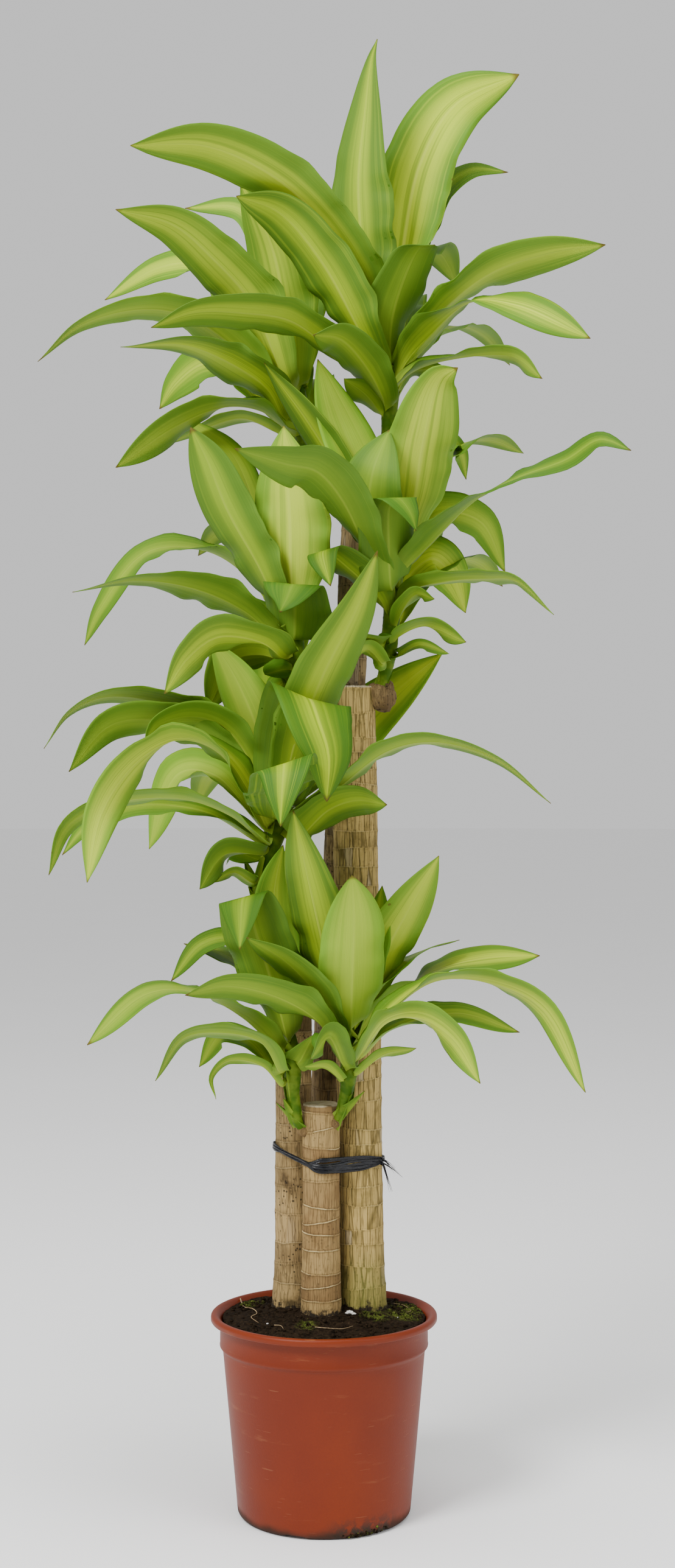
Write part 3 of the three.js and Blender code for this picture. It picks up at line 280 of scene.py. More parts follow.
def clamp(value, low=0.0, high=1.0):
    return min(high, max(low, value))


def smooth(value, low, high):
    t = clamp((value - low) / (high - low))
    return t * t * (3 - 2 * t)


def bell(value, width):
    """1 at zero, falling away to both sides."""
    return math.exp(-(value / width) ** 2)


def unit(vector):
    return vector / max(1e-9, float(np.linalg.norm(vector)))


def across_of(vector, axis):
    """The part of a vector that lies square to a unit axis, made a unit vector."""
    return unit(vector - axis * float(vector @ axis))


def turned(vector, axis, angle):
    """The vector turned round a unit axis by an angle in radians."""
    return (vector * math.cos(angle) + np.cross(axis, vector) * math.sin(angle)
            + axis * float(axis @ vector) * (1 - math.cos(angle)))


def polar(radius, angle):
    return radius * math.cos(angle), radius * math.sin(angle)


def bearings(sides):
    """So many angles, evenly round a circle."""
    return [2 * math.pi * s / sides for s in range(sides)]


def wobble(x, y, z, scale, seed=0.0):
    """Smooth noise from -1 to 1; scale is the size of its lumps, in the units of x, y and z."""
    return noise.noise(Vector((x / scale + seed, y / scale - seed, z / scale + 2 * seed)))


def seen(px, py, depth):
    """Where a picture point is, at a depth in mm behind the pot's axis."""
    scale = (depth - EYE[1]) / VIEW_FOCAL
    return np.array([EYE[0] + (px - VIEW_CENTRE[0]) * scale, depth, EYE[2] + (VIEW_CENTRE[1] - py) * scale])


def add_object(name, data):
    made = bpy.data.objects.new(name, data)
    bpy.context.scene.collection.objects.link(made)
    return made


class Skin:
    """Collects grids of points, in mm, into one mesh with named values on its points."""

    def __init__(self, *names):
        self.points, self.faces, self.flat = [], [], []
        self.values = {name: [] for name in names}

    def add(self, points, faces, flat=(), **values):
        base = sum(len(p) for p in self.points)
        self.points.append(np.asarray(points, float))
        self.faces += [tuple(base + k for k in face) for face in faces]
        flat = set(flat)
        self.flat += [i in flat for i in range(len(faces))]
        for name, held in self.values.items():
            held.append(np.broadcast_to(np.asarray(values.get(name, 0.0), float), (len(points),)))

    def build(self, name, slot, material, replaces=()):
        mesh = bpy.data.meshes.new(name)
        mesh.from_pydata((np.concatenate(self.points) * MM).tolist(), [], self.faces)
        for key, held in self.values.items():
            layer = mesh.attributes.new(key, "FLOAT", "POINT")
            layer.data.foreach_set("value", np.concatenate(held).astype(np.float32))
        mesh.polygons.foreach_set("use_smooth", [not flat for flat in self.flat])
        mesh.materials.append(material)
        mesh.update()
        piece = add_object(name, mesh)
        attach(piece, BODY)
        if replaces:
            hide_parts(*replaces)


def tube_faces(rings, sides, closed=True):
    """Quads round a tube of rings, each of so many points, with one face over both ends if closed."""
    faces = []
    for base in range(0, (rings - 1) * sides, sides):
        for s in range(sides):
            t = (s + 1) % sides
            faces.append((base + s, base + t, base + sides + t, base + sides + s))
    if closed:
        faces.append(tuple(reversed(range(sides))))
        faces.append(tuple((rings - 1) * sides + s for s in range(sides)))
    return faces


def evenly(points, count):
    """The running lengths along a line of points, and so many even lengths along it."""
    gone = np.concatenate([[0], np.cumsum(np.linalg.norm(np.diff(points, axis=0), axis=1))])
    return gone, np.linspace(0, gone[-1], count + 1)


# ---- routes


def curve_point(points, share):
    """A point of the centripetal curve through the points."""
    last = len(points) - 1
    i = min(int(last * share), last - 1)
    w = last * share - i
    p1, p2 = points[i], points[i + 1]
    p0 = points[i - 1] if i > 0 else 2 * points[0] - points[1]
    p3 = points[i + 2] if i + 2 <= last else 2 * points[last] - points[last - 1]
    d0, d1, d2 = (max(1e-4, float(np.linalg.norm(b - a))) ** 0.5
                  for a, b in ((p0, p1), (p1, p2), (p2, p3)))
    t1 = ((p1 - p0) / d0 - (p2 - p0) / (d0 + d1) + (p2 - p1) / d1) * d1
    t2 = ((p2 - p1) / d1 - (p3 - p1) / (d1 + d2) + (p3 - p2) / d2) * d1
    return p1 + t1 * w + (-3 * p1 + 3 * p2 - 2 * t1 - t2) * w ** 2 + (2 * p1 - 2 * p2 + t1 + t2) * w ** 3


class Route:
    """A smooth curve through points, sampled at equal lengths."""

    def __init__(self, points, samples=120, fine=240):
        points = [np.asarray(p, float) for p in points]
        rough = np.array([curve_point(points, i / fine) for i in range(fine + 1)])
        gone, want = evenly(rough, samples)
        self.length = float(gone[-1])
        self.spots = np.stack([np.interp(want, gone, rough[:, k]) for k in range(3)], axis=1)
        step = np.vstack([self.spots[1:], self.spots[-1:]]) - np.vstack([self.spots[:1], self.spots[:-1]])
        self.along = step / np.linalg.norm(step, axis=1, keepdims=True)
        self.last = samples

    def at(self, share):
        place = clamp(share) * self.last
        i = min(int(place), self.last - 1)
        return lerp(self.spots[i], self.spots[i + 1], place - i)

    def heading(self, share):
        return self.along[min(self.last, round(clamp(share) * self.last))]


def sweep(skin, route, radii, sides, squash=1.0, spin=0.0, start=BACKWARD, **values):
    """A round or flattened section carried along a route; radii is a function of share and angle."""
    rings = len(route.spots)
    points = []
    across = unit(np.cross(start, route.along[0]))
    for i, (spot, along) in enumerate(zip(route.spots, route.along)):
        across = across_of(across, along)
        side = turned(across, along, spin * i / rings)
        through = np.cross(along, side) * squash
        for angle in bearings(sides):
            x, y = polar(radii(i / (rings - 1), angle), angle)
            points.append(spot + side * x + through * y)
    skin.add(points, tube_faces(rings, sides), **values)


def lumpy_ball(skin, centre, radii, seed, rough, rows=14, sides=22, lean=0.0, **values):
    """An uneven rounded lump: rings of points whose distance from the middle varies."""
    points = []
    for r in range(rows + 1):
        tilt = math.pi * (r + 0.02) / (rows + 0.04)
        for angle in bearings(sides):
            out = np.array([*polar(math.sin(tilt), angle), math.cos(tilt)])
            size = 1 + rough * (wobble(*(out * 2), 1.0, seed) + 0.5 * wobble(*(out * 5), 1.0, seed + 3))
            points.append(np.array(centre) + turned(out * np.array(radii) * size, BACKWARD, -lean))
    skin.add(points, [f[::-1] for f in tube_faces(rows + 1, sides)], **values)


# ---- leaves

ALONG = 52                                  # sections of a drawn blade
ACROSS = (-1, -0.84, -0.62, -0.38, -0.16, -0.05, 0, 0.05, 0.16, 0.38, 0.62, 0.84, 1)
CLASP = Named(width=0.21, full=0.01, gone=0.17, least=0.006, cup=24, cup_gone=0.14)
WAVES_END = 1 / 1.4                         # share of the blade where its waves have died out
CUP_POWER = 1.25                            # how the cup steepens towards the margins
EDGE_THINNING = 0.5
RIPPLE = Named(depth=0.06, long=10.5, short=5.6, least=0.4, uneven=1.2, patch=90)   # on the margins
PINCH = Named(depth=0.09, length=34)        # the margins also run a little in and out
KEEL = Named(depth=0.9, width=0.07, thinning=0.75, sunk=0.45, full_from=12)
STEM = Named(radius=7.8, foot=0.5, swell=2.5, tip=0.3, tip_from=0.75, sides=20)
RINGS = Named(gap=9.0, height=0.45, slant=1.5, sharpness=6)     # on the stem
SHEATH = Named(count=6, radius=7.6, foot=0.6, length=(44, 60), width=(23, 27), flare=(-0.5, 1.5),
               cup=(62, 25), bend_at=0.45, tucked_in=0.75, tip_power=2.2, tip_taper=0.25,
               bearing_step=2.4, ripple=0.3, tone=0.2, stem=0.35)
LOOK_SPREAD = 0.06
ORDER_SHIFT, EDGE_SHIFT = 2.4, 2.1          # set the waves of two leaves, or two margins, apart


def half_width(share, tip_power=BLADE.tip_power):
    """Half the blade's width at a share of its length, for a blade of width 1."""
    if share < BLADE.widest:
        drawn = lerp(BLADE.root, 1, math.sin(share / BLADE.widest * math.pi / 2)) / 2
    else:
        past = (share - BLADE.widest) / (1 - BLADE.widest)
        drawn = (1 - past ** tip_power) * (1 - BLADE.tip_taper * past) / 2
    return max(drawn, CLASP.width * (1 - smooth(share, CLASP.full, CLASP.gone)), CLASP.least)


def cup_angle(share):
    if share < BLADE.widest:
        drawn = lerp(BLADE.root_cup, BLADE.mid_cup, math.sqrt(share / BLADE.widest))
    else:
        drawn = lerp(BLADE.mid_cup, BLADE.tip_cup, (share - BLADE.widest) / (1 - BLADE.widest))
    return math.radians(drawn + CLASP.cup * (1 - smooth(share, 0.0, CLASP.cup_gone)))


def carried_sides(route, given, twist=0.0):
    """Side directions carried along without turning from the one that is given, and then twisted."""
    last = route.last
    start = round(BLADE.facing * last)
    sides = [None] * (last + 1)
    sides[start] = given
    for step, stop in ((1, last + 1), (-1, -1)):
        for i in range(start + step, stop, step):
            sides[i] = across_of(sides[i - step], route.along[i])
    turn = math.radians(twist) / last
    return [turned(s, route.along[i], turn * (i - start)) for i, s in enumerate(sides)]


def full_view(spot, along):
    """The side direction of a blade that the front view shows in full."""
    return unit(np.cross(along, unit(spot - EYE)))


def best_turn(spot, along, turn, outward):
    """Of the ways to turn a blade from full view, the one whose face looks more to sky and shoot."""
    skyward = UP - SHOOT.pull * outward
    best = None
    for angle, sense in ((turn, 1), (-turn, -1), (180 - turn, -1), (180 + turn, 1)):
        side = turned(full_view(spot, along), along, math.radians(angle))
        looks = float(np.cross(along, side) @ skyward)
        if best is None or looks > best[2] + 1e-9:
            best = (angle, sense, looks)
    return best[:2]


def seen_sides(route, turn, twist, outward):
    """The sides of a blade seen turned by an angle; one that folds keeps its middle's direction."""
    middle = round(BLADE.facing * route.last)
    angle, sense = best_turn(route.spots[middle], route.along[middle], turn, outward)

    def side_at(i, extra):
        flat = full_view(route.spots[i], route.along[i])
        return turned(flat, route.along[i], math.radians(angle + sense * extra))

    if twist == FOLDS:
        return carried_sides(route, side_at(middle, 0))
    return [side_at(i, twist * (i - middle) / route.last) for i in range(route.last + 1)]


def wave_phase(route):
    """The margin's waves, as the count of half waves at each sample: quicker where the leaf bends."""
    bend = [math.acos(clamp(float(a @ b), -1, 1)) for a, b in zip(route.along, route.along[1:])]
    weight = np.cumsum([0.0] + [1 / route.last + b * SECTIONS.bend_weight for b in bend])
    total = float(weight[-1])
    count = round(1 + route.length / SECTIONS.spacing + total * SECTIONS.per_bend + 1e-9)
    return weight / total * clamp(count, SECTIONS.least, SECTIONS.most)


def draw_blade(skin, route, sides, width, order, look, outline=half_width, cup=cup_angle, ripple=1.0):
    """A thin closed blade along a route: two faces of points, margins that wave, a keeled rib."""
    phase = wave_phase(route)
    mirror = 1 if order % 2 else -1
    half_ring, ring = len(ACROSS), 2 * len(ACROSS)
    points, along = [], []
    for station in (round(i * route.last / ALONG) for i in range(ALONG + 1)):
        share = station / route.last
        half, tilt = outline(share) * width, cup(share)
        spot, side = route.spots[station], sides[station]
        face = np.cross(route.along[station], side)
        swell = math.sin(math.pi * min(1, share / WAVES_END))
        wave = -math.cos(math.pi * phase[station]) * BLADE.wave * half * 2 * swell * ripple
        place = share * route.length
        upper, lower = [], []
        for u in ACROSS:
            reach = abs(u)
            edge = order * ORDER_SHIFT + EDGE_SHIFT * (u > 0)
            uneven = RIPPLE.least + RIPPLE.uneven * abs(wobble(place, 9 * edge, 0, RIPPLE.patch))
            fine = math.sin(place / RIPPLE.long + edge) + 0.5 * math.sin(place / RIPPLE.short + 2 * edge)
            margin = wave * reach ** 2 * (1 if u < 0 else mirror)
            margin += RIPPLE.depth * half * 2 * reach ** 3 * fine * uneven * swell * ripple
            pinch = 1 + PINCH.depth * reach * wobble(place, 7 * edge, 0, PINCH.length) * swell
            lift = half * math.sin(tilt) * reach ** CUP_POWER + margin
            middle = spot + side * (half * math.cos(tilt) * u * pinch) + face * lift
            depth = BLADE.thickness / 2 * (1 - EDGE_THINNING * reach)
            keel = KEEL.depth * bell(u, KEEL.width) * (1 - KEEL.thinning * share)
            keel *= min(1, half / KEEL.full_from)
            upper.append(middle + face * (depth - KEEL.sunk * keel))
            lower.append(middle - face * (depth + keel))
        points += upper + lower[::-1]
        along += [share] * ring
    faces = tube_faces(ALONG + 1, ring, closed=False)
    walls = [r * ring + s for r in range(ALONG) for s in (half_ring - 1, ring - 1)]
    for base, way in ((0, -1), (ALONG * ring, 1)):
        faces += [(base + i, base + i + 1, base + ring - 2 - i, base + ring - 1 - i)[::way]
                  for i in range(half_ring - 1)]
    across = (ACROSS + ACROSS[::-1]) * (ALONG + 1)
    under = ([0.0] * half_ring + [1.0] * half_ring) * (ALONG + 1)
    skin.add(points, faces, flat=walls, across=across, along=along, under=under, **look)


def repeatable(state):
    """The numbers from 0 to 1 that the hidden leaves were placed with, by the minimal standard rule."""
    while True:
        state = state * 16807 % 2147483647
        yield state / 2147483647


def with_depths(route):
    """Fills in the depths that a route leaves open, evenly between the neighbours that have one."""
    places, depths = zip((-1, 0.0), *((i, p[2]) for i, p in enumerate(route) if len(p) > 2))
    return [(p[0], p[1], float(np.interp(i, places, depths))) for i, p in enumerate(route)]


def shoot_radius(share, crown_foot):
    """The solid's stem, which swells at the crown; the blades start at a share of it."""
    if share < crown_foot:
        return lerp(SHOOT.radius, SHOOT.crown, smooth(share, crown_foot - SHOOT.swell, crown_foot))
    gone = (share - crown_foot) / (1 - crown_foot)
    return lerp(SHOOT.crown, SHOOT.tip, gone ** SHOOT.thinning)


def varied(look, rng):
    """A look with small differences from leaf to leaf."""
    tone, band, vivid = (clamp(value + rng.uniform(-LOOK_SPREAD, LOOK_SPREAD)) for value in look)
    return dict(tone=tone, band=band, vivid=vivid, seed=rng.uniform(0, 50))


def picture_leaf(skin, crown_depth, root, reach, row, order, rng):
    """A leaf that the photo shows, along the route its row gives."""
    width, turn, twist, look, points, *tip = row
    spots = [seen(px, py, crown_depth + depth) for px, py, depth in with_depths(points)]
    outward = unit((spots[-1] - root) * (1, 1, 0))
    route = Route([root + outward * reach] + spots)
    draw_blade(skin, route, seen_sides(route, turn, twist, outward), width, order, varied(look, rng),
               outline=lambda share: half_width(share, *tip))


def arching_leaf(skin, root, reach, azimuth, length, rise, droop, width, order, look):
    """A leaf that rises from the shoot at a compass bearing, arches over and hangs."""
    outward = np.array([*polar(1, math.radians(azimuth)), 0.0])
    spots = [root + outward * reach]
    for i in range(BACK.steps):
        elevation = math.radians(rise - droop * ((i + 0.5) / BACK.steps) ** BACK.droop_power)
        stride = outward * math.cos(elevation) + UP * math.sin(elevation)
        spots.append(spots[-1] + stride * length / BACK.steps)
    route = Route(spots)
    twist = BACK.twist if order % 2 else -BACK.twist
    draw_blade(skin, route, carried_sides(route, np.cross(UP, outward), twist), width, order, look)


def draw_sheath(skin, route, share, azimuth, length, width, flare, look, order):
    """A small pointed sheath that clasps the bare part of a shoot."""
    centre, heading = route.at(share), route.heading(share)
    outward = turned(unit(np.cross(heading, BACKWARD)), heading, azimuth)
    radius = SHEATH.radius * lerp(SHEATH.foot, 1, smooth(share, 0, 0.3))
    own = Route([centre + outward * radius * SHEATH.tucked_in,
                 centre + outward * (radius + flare * 0.1) + heading * length * SHEATH.bend_at,
                 centre + outward * (radius + flare) + heading * length], samples=ALONG)
    side = across_of(np.cross(heading, outward), own.along[round(BLADE.facing * ALONG)])
    draw_blade(skin, own, carried_sides(own, side), width, order, look,
               outline=lambda t: max(0.01, (1 - t ** SHEATH.tip_power) * (1 - SHEATH.tip_taper * t) / 2),
               cup=lambda t: math.radians(lerp(*SHEATH.cup, t)), ripple=SHEATH.ripple)


def draw_stem(skin, low, route, shift):
    """The green shoot, ringed where leaves have fallen."""

    def radii(share, angle):
        body = STEM.radius * lerp(STEM.foot, 1, smooth(share, 0, 0.6 * low))
        body += STEM.swell * smooth(share, low - 0.1, low + 0.1)
        place = share * route.length + RINGS.slant * math.sin(angle + shift)
        crest = max(0.0, math.cos(2 * math.pi * place / RINGS.gap))
        ring = RINGS.height * crest ** RINGS.sharpness
        taper = lerp(1, STEM.tip, smooth(share, STEM.tip_from, 1.0))
        return (body + ring) * taper * (1 + 0.03 * math.sin(2 * angle + share * 9))

    along = np.repeat(np.linspace(0, 0.9, len(route.spots)), STEM.sides)
    sweep(skin, route, radii, STEM.sides, across=0.8, along=along, tone=0.1, band=0.2, vivid=0.3,
          seed=shift, stem=0.9)


def make_head(index, head, material):
    seed = FIRST_SEED + index * SEED_STEP
    rng, draws = random.Random(seed), repeatable(seed)
    route = Route([seen(*p) for p in head.shoot])
    skin = Skin("across", "along", "under", "tone", "band", "vivid", "seed", "stem")
    low, high = head.crown

    def root_at(share):
        place = lerp(high, low, share)
        return route.at(place), BLADE.root_reach * shoot_radius(place, low)

    for i, row in enumerate(head.leaves.values()):
        picture_leaf(skin, head.shoot[-1][2], *root_at(i / len(head.leaves)), row, i, rng)
    count, start, end, longest = head.back
    for i in range(count):
        azimuth = lerp(start, end, (i * BACK.fan_step + BACK.fan_start) % 1)
        rise = lerp(*BACK.rise, i / count) + BACK.rise_spread * next(draws)
        droop = lerp(*BACK.droop, next(draws))
        width = lerp(*BACK.width, next(draws))
        length = longest * lerp(*BACK.reach, next(draws))
        arching_leaf(skin, *root_at((i + 0.5) / count), azimuth, length, rise, droop, width, i,
                     varied(PLAIN, rng))
    draw_stem(skin, low, route, rng.uniform(0, 9))
    for k in range(SHEATH.count):
        share = lerp(0.02, low + 0.02, k / (SHEATH.count - 1))
        look = dict(varied(PLAIN, rng), tone=SHEATH.tone, stem=SHEATH.stem)
        azimuth = k * SHEATH.bearing_step + rng.uniform(-0.3, 0.3)
        sizes = [rng.uniform(*size) for size in (SHEATH.length, SHEATH.width, SHEATH.flare)]
        draw_sheath(skin, route, share, azimuth, *sizes, look, k)
    skin.build(head.name + "_leaves", "leaf", material, replaces=[head.name])


# ---- materials

LEAF = Named(
    deep=(0.036, 0.112, 0.008), fresh=(0.19, 0.39, 0.018), shade=(0.028, 0.085, 0.006),
    lime=(0.32, 0.44, 0.001), dull_lime=(0.22, 0.34, 0.01), pale_lime=(0.5, 0.58, 0.05),
    olive=(0.1, 0.185, 0.005), vein=(0.42, 0.52, 0.03), rib=(0.58, 0.63, 0.09), under=(0.24, 0.36, 0.05),
    base=(0.4, 0.5, 0.06), stem=(0.035, 0.09, 0.003), sheath=(0.11, 0.17, 0.01), dry=(0.1, 0.045, 0.012))
# Bark: tan and dark tones, scar and crack colours (the crack colour also paints the shade beside the
# scars); how much the tone changes from one ring or plate to the next; how strong the rings, plates and
# stains show, the rings with their painted shade and the plates with their painted glints; the grain's
# count per metre; moss at the foot.
BARKS = {
    "a": Named(light=(0.32, 0.215, 0.082), dark=(0.2, 0.12, 0.045), scar=(0.55, 0.42, 0.2),
               crack=(0.08, 0.045, 0.015), blocks=0.8, bricks=0.0, rings=0.9, grain=300.0, moss=0.0,
               stain=0.35),
    "b": Named(light=(0.36, 0.245, 0.1), dark=(0.17, 0.11, 0.045), scar=(0.42, 0.31, 0.15),
               crack=(0.045, 0.028, 0.012), blocks=0.45, bricks=0.2, rings=0.55, grain=280.0, moss=0.05,
               stain=0.85),
    "c": Named(light=(0.44, 0.31, 0.1), dark=(0.2, 0.14, 0.04), scar=(0.5, 0.39, 0.17),
               crack=(0.085, 0.06, 0.015), blocks=0.15, bricks=1.0, rings=0.35, grain=260.0, moss=0.5,
               stain=0.3),
    "d": Named(light=(0.26, 0.18, 0.08), dark=(0.11, 0.075, 0.03), scar=(0.32, 0.24, 0.11),
               crack=(0.03, 0.02, 0.01), blocks=0.3, bricks=0.5, rings=0.5, grain=260.0, moss=0.1,
               stain=0.6),
}
PLATE_COUNT = 105.0                         # plates per metre round a cane
WOOD = Named(pale=(0.5, 0.43, 0.29), ring=(0.38, 0.31, 0.19), pith=(0.12, 0.07, 0.03))
# pale grey for the painted glints on the bark plates
PAINTED_GLINT = (0.38, 0.36, 0.33)
DRIED = (0.085, 0.05, 0.02)                 # the dried stub and the shoots' corky feet
MOSS = (0.12, 0.16, 0.02)
DIRT = (0.02, 0.014, 0.008)
EARTH = Named(black=(0.003, 0.002, 0.0012), crumb=(0.038, 0.024, 0.013), lump=(0.026, 0.016, 0.009),
              fleck=(0.16, 0.11, 0.06), moss_dark=(0.05, 0.075, 0.012), moss_light=(0.17, 0.2, 0.035))
POT_RED = Named(main=(0.13, 0.0135, 0.0006), light=(0.165, 0.02, 0.001), dull=(0.095, 0.01, 0.001),
                chalk=(0.34, 0.13, 0.05))
RIBBON = Named(dark=(0.0015, 0.0015, 0.002), light=(0.008, 0.009, 0.014))
FIBRE = Named(light=(0.42, 0.3, 0.16), dark=(0.2, 0.13, 0.07))
PERLITE = Named(light=(0.75, 0.74, 0.7), dark=(0.45, 0.43, 0.4))
FLOOR = Named(dark=(0.93, 0.93, 0.925), light=(0.95, 0.95, 0.95), rings=(0.5, 4.0, 12.0, 40.0), sides=72)


class Value:
    """What a node gives out. Sums with it make nodes too."""

    def __init__(self, shader, socket):
        self.shader, self.socket = shader, socket

    def __add__(self, other):
        return self.shader.math("ADD", self, other)

    def __sub__(self, other):
        return self.shader.math("SUBTRACT", self, other)

    def __mul__(self, other):
        return self.shader.math("MULTIPLY", self, other)

    def __abs__(self):
        return self.shader.math("ABSOLUTE", self)

    def times_plus(self, factor, added):
        return self.shader.math("MULTIPLY_ADD", self, factor, added)


class Shader:
    """A node material, painted in layers: colour holds what the layers so far make."""

    def __init__(self, name, roughness, specular):
        self.material = bpy.data.materials.new(name)
        self.material.use_nodes = True
        self.tree = self.material.node_tree
        self.surface = self.tree.nodes["Principled BSDF"]
        self.surface.inputs["Roughness"].default_value = roughness
        self.surface.inputs["Specular IOR Level"].default_value = specular
        self.colour = None

    def node(self, kind, inputs=(), output=0, **settings):
        made = self.tree.nodes.new(kind)
        for key, value in settings.items():
            setattr(made, key, value)
        for key, value in dict(inputs).items():
            self.put(made.inputs[key], value)
        return Value(self, made.outputs[output])

    def put(self, socket, value):
        if isinstance(value, Value):
            self.tree.links.new(value.socket, socket)
        elif socket.type == "RGBA":
            socket.default_value = (*value, 1.0)
        else:
            socket.default_value = value

    def value(self, name):
        return self.node("ShaderNodeAttribute", output="Fac", attribute_name=name)

    def place(self):
        return self.node("ShaderNodeTexCoord", output="Object")

    def math(self, operation, a, b=0.0, c=0.0):
        return self.node("ShaderNodeMath", {0: a, 1: b, 2: c}, operation=operation)

    def vector(self, x, y, z):
        return self.node("ShaderNodeCombineXYZ", {0: x, 1: y, 2: z})

    def stretched(self, vector, flat, upright):
        factors = (flat, flat, upright)
        return self.node("ShaderNodeVectorMath", {0: vector, 1: factors}, operation="MULTIPLY")

    def height_of(self, place):
        return self.node("ShaderNodeSeparateXYZ", {0: place}, output=2)

    def noise(self, vector, scale=1.0, detail=2.0, rough=0.5):
        inputs = {"Vector": vector, "Scale": scale, "Detail": detail, "Roughness": rough}
        return self.node("ShaderNodeTexNoise", inputs, output="Fac")

    def specks(self, vector, scale, full, gone):
        """Round specks: so many a metre, solid out to one distance and gone at the next."""
        cells = self.node("ShaderNodeTexVoronoi", {"Vector": vector, "Scale": scale}, output="Distance")
        return self.fade(cells, full, gone, 1.0, 0.0)

    def fade(self, value, low, high, to_low=0.0, to_high=1.0):
        inputs = {0: value, 1: low, 2: high, 3: to_low, 4: to_high}
        return self.node("ShaderNodeMapRange", inputs, interpolation_type="SMOOTHSTEP")

    def mix(self, share, a, b):
        return self.node("ShaderNodeMix", {0: share, 6: a, 7: b}, output=2, data_type="RGBA")

    def paint(self, share, colour):
        """Lays a colour over what is there; the share says how much of it shows."""
        self.colour = self.mix(share, self.colour, colour)

    def finish(self, roughness=None, height=None, depth=0.5):
        """Connects the colour, roughness and a height field in units of depth, in mm."""
        self.put(self.surface.inputs["Base Color"], self.colour)
        if roughness is not None:
            self.put(self.surface.inputs["Roughness"], roughness)
        if height is not None:
            inputs = {"Height": height, "Distance": depth * MM, "Strength": 1.0}
            self.put(self.surface.inputs["Normal"], self.node("ShaderNodeBump", inputs))
        return self.material


def leaf_material():
    s = Shader("leaf", roughness=0.5, specular=0.08)
    across, along, under, tone = (s.value(name) for name in ("across", "along", "under", "tone"))
    band, vivid, seed, stem = (s.value(name) for name in ("band", "vivid", "seed", "stem"))
    reach, shift = abs(across), seed * 3.7

    def streaks_of(count, stretch, detail):
        place = s.vector(across * count, along.times_plus(stretch, shift), seed)
        return s.noise(place, detail=detail, rough=0.55)

    wide, streaks, fine = streaks_of(2.6, 1.3, 1.0), streaks_of(9.0, 0.8, 2.0), streaks_of(38.0, 1.2, 2.0)
    blotch = s.noise(s.place(), 9.0)
    # the yellow centre: its edge is soft and wanders, and faint darker streaks run through it
    inside = band - (reach + wide.times_plus(0.5, -0.25))
    green = s.mix(tone, LEAF.deep, LEAF.fresh)
    green = s.mix(s.fade(blotch, 0.35, 0.7, 0.0, 0.35), green, LEAF.shade)
    lime = s.mix(s.fade(vivid, 0.35, 0.95), LEAF.dull_lime, LEAF.lime)
    lime = s.mix(tone, lime, LEAF.pale_lime)
    s.colour = s.mix(s.fade(inside, -0.34, 0.3) * vivid, green, lime)
    s.paint(s.fade(streaks, 0.5, 0.66) * (vivid * 0.55), s.mix(0.4, green, LEAF.olive))
    s.paint(s.fade(streaks, 0.46, 0.3) * (vivid * 0.3), lime)
    s.paint(s.fade(fine, 0.3, 0.75, 0.0, 0.1), s.mix(0.5, s.colour, LEAF.vein))
    s.paint(s.fade(reach, 0.015, 0.07, 1.0, 0.0) * s.fade(along, 0.35, 0.9, 0.4, 0.12) * vivid, LEAF.rib)
    # the lower face is paler and duller, the base of the blade paler still
    s.paint(under * 0.16, LEAF.under)
    s.paint(s.fade(along, 0.0, 0.22, 0.5, 0.0), LEAF.base)
    s.paint(stem, s.mix(s.fade(s.noise(s.place(), 60.0, 3.0), 0.35, 0.65), LEAF.stem, LEAF.sheath))
    # dry tips and a few brown marks
    tip = s.fade(along + s.fade(blotch, 0.3, 0.7) * 0.02, 0.985, 1.008)
    marks = s.fade(s.noise(s.place(), 85.0, 3.0), 0.75, 0.79) * s.fade(reach, 0.4, 0.95, 0.0, 0.7)
    s.paint(s.math("MAXIMUM", tip * 0.8, marks), LEAF.dry)
    return s.finish(s.fade(fine, 0.2, 0.8, 0.45, 0.55), fine * 0.5 + streaks * 0.5)


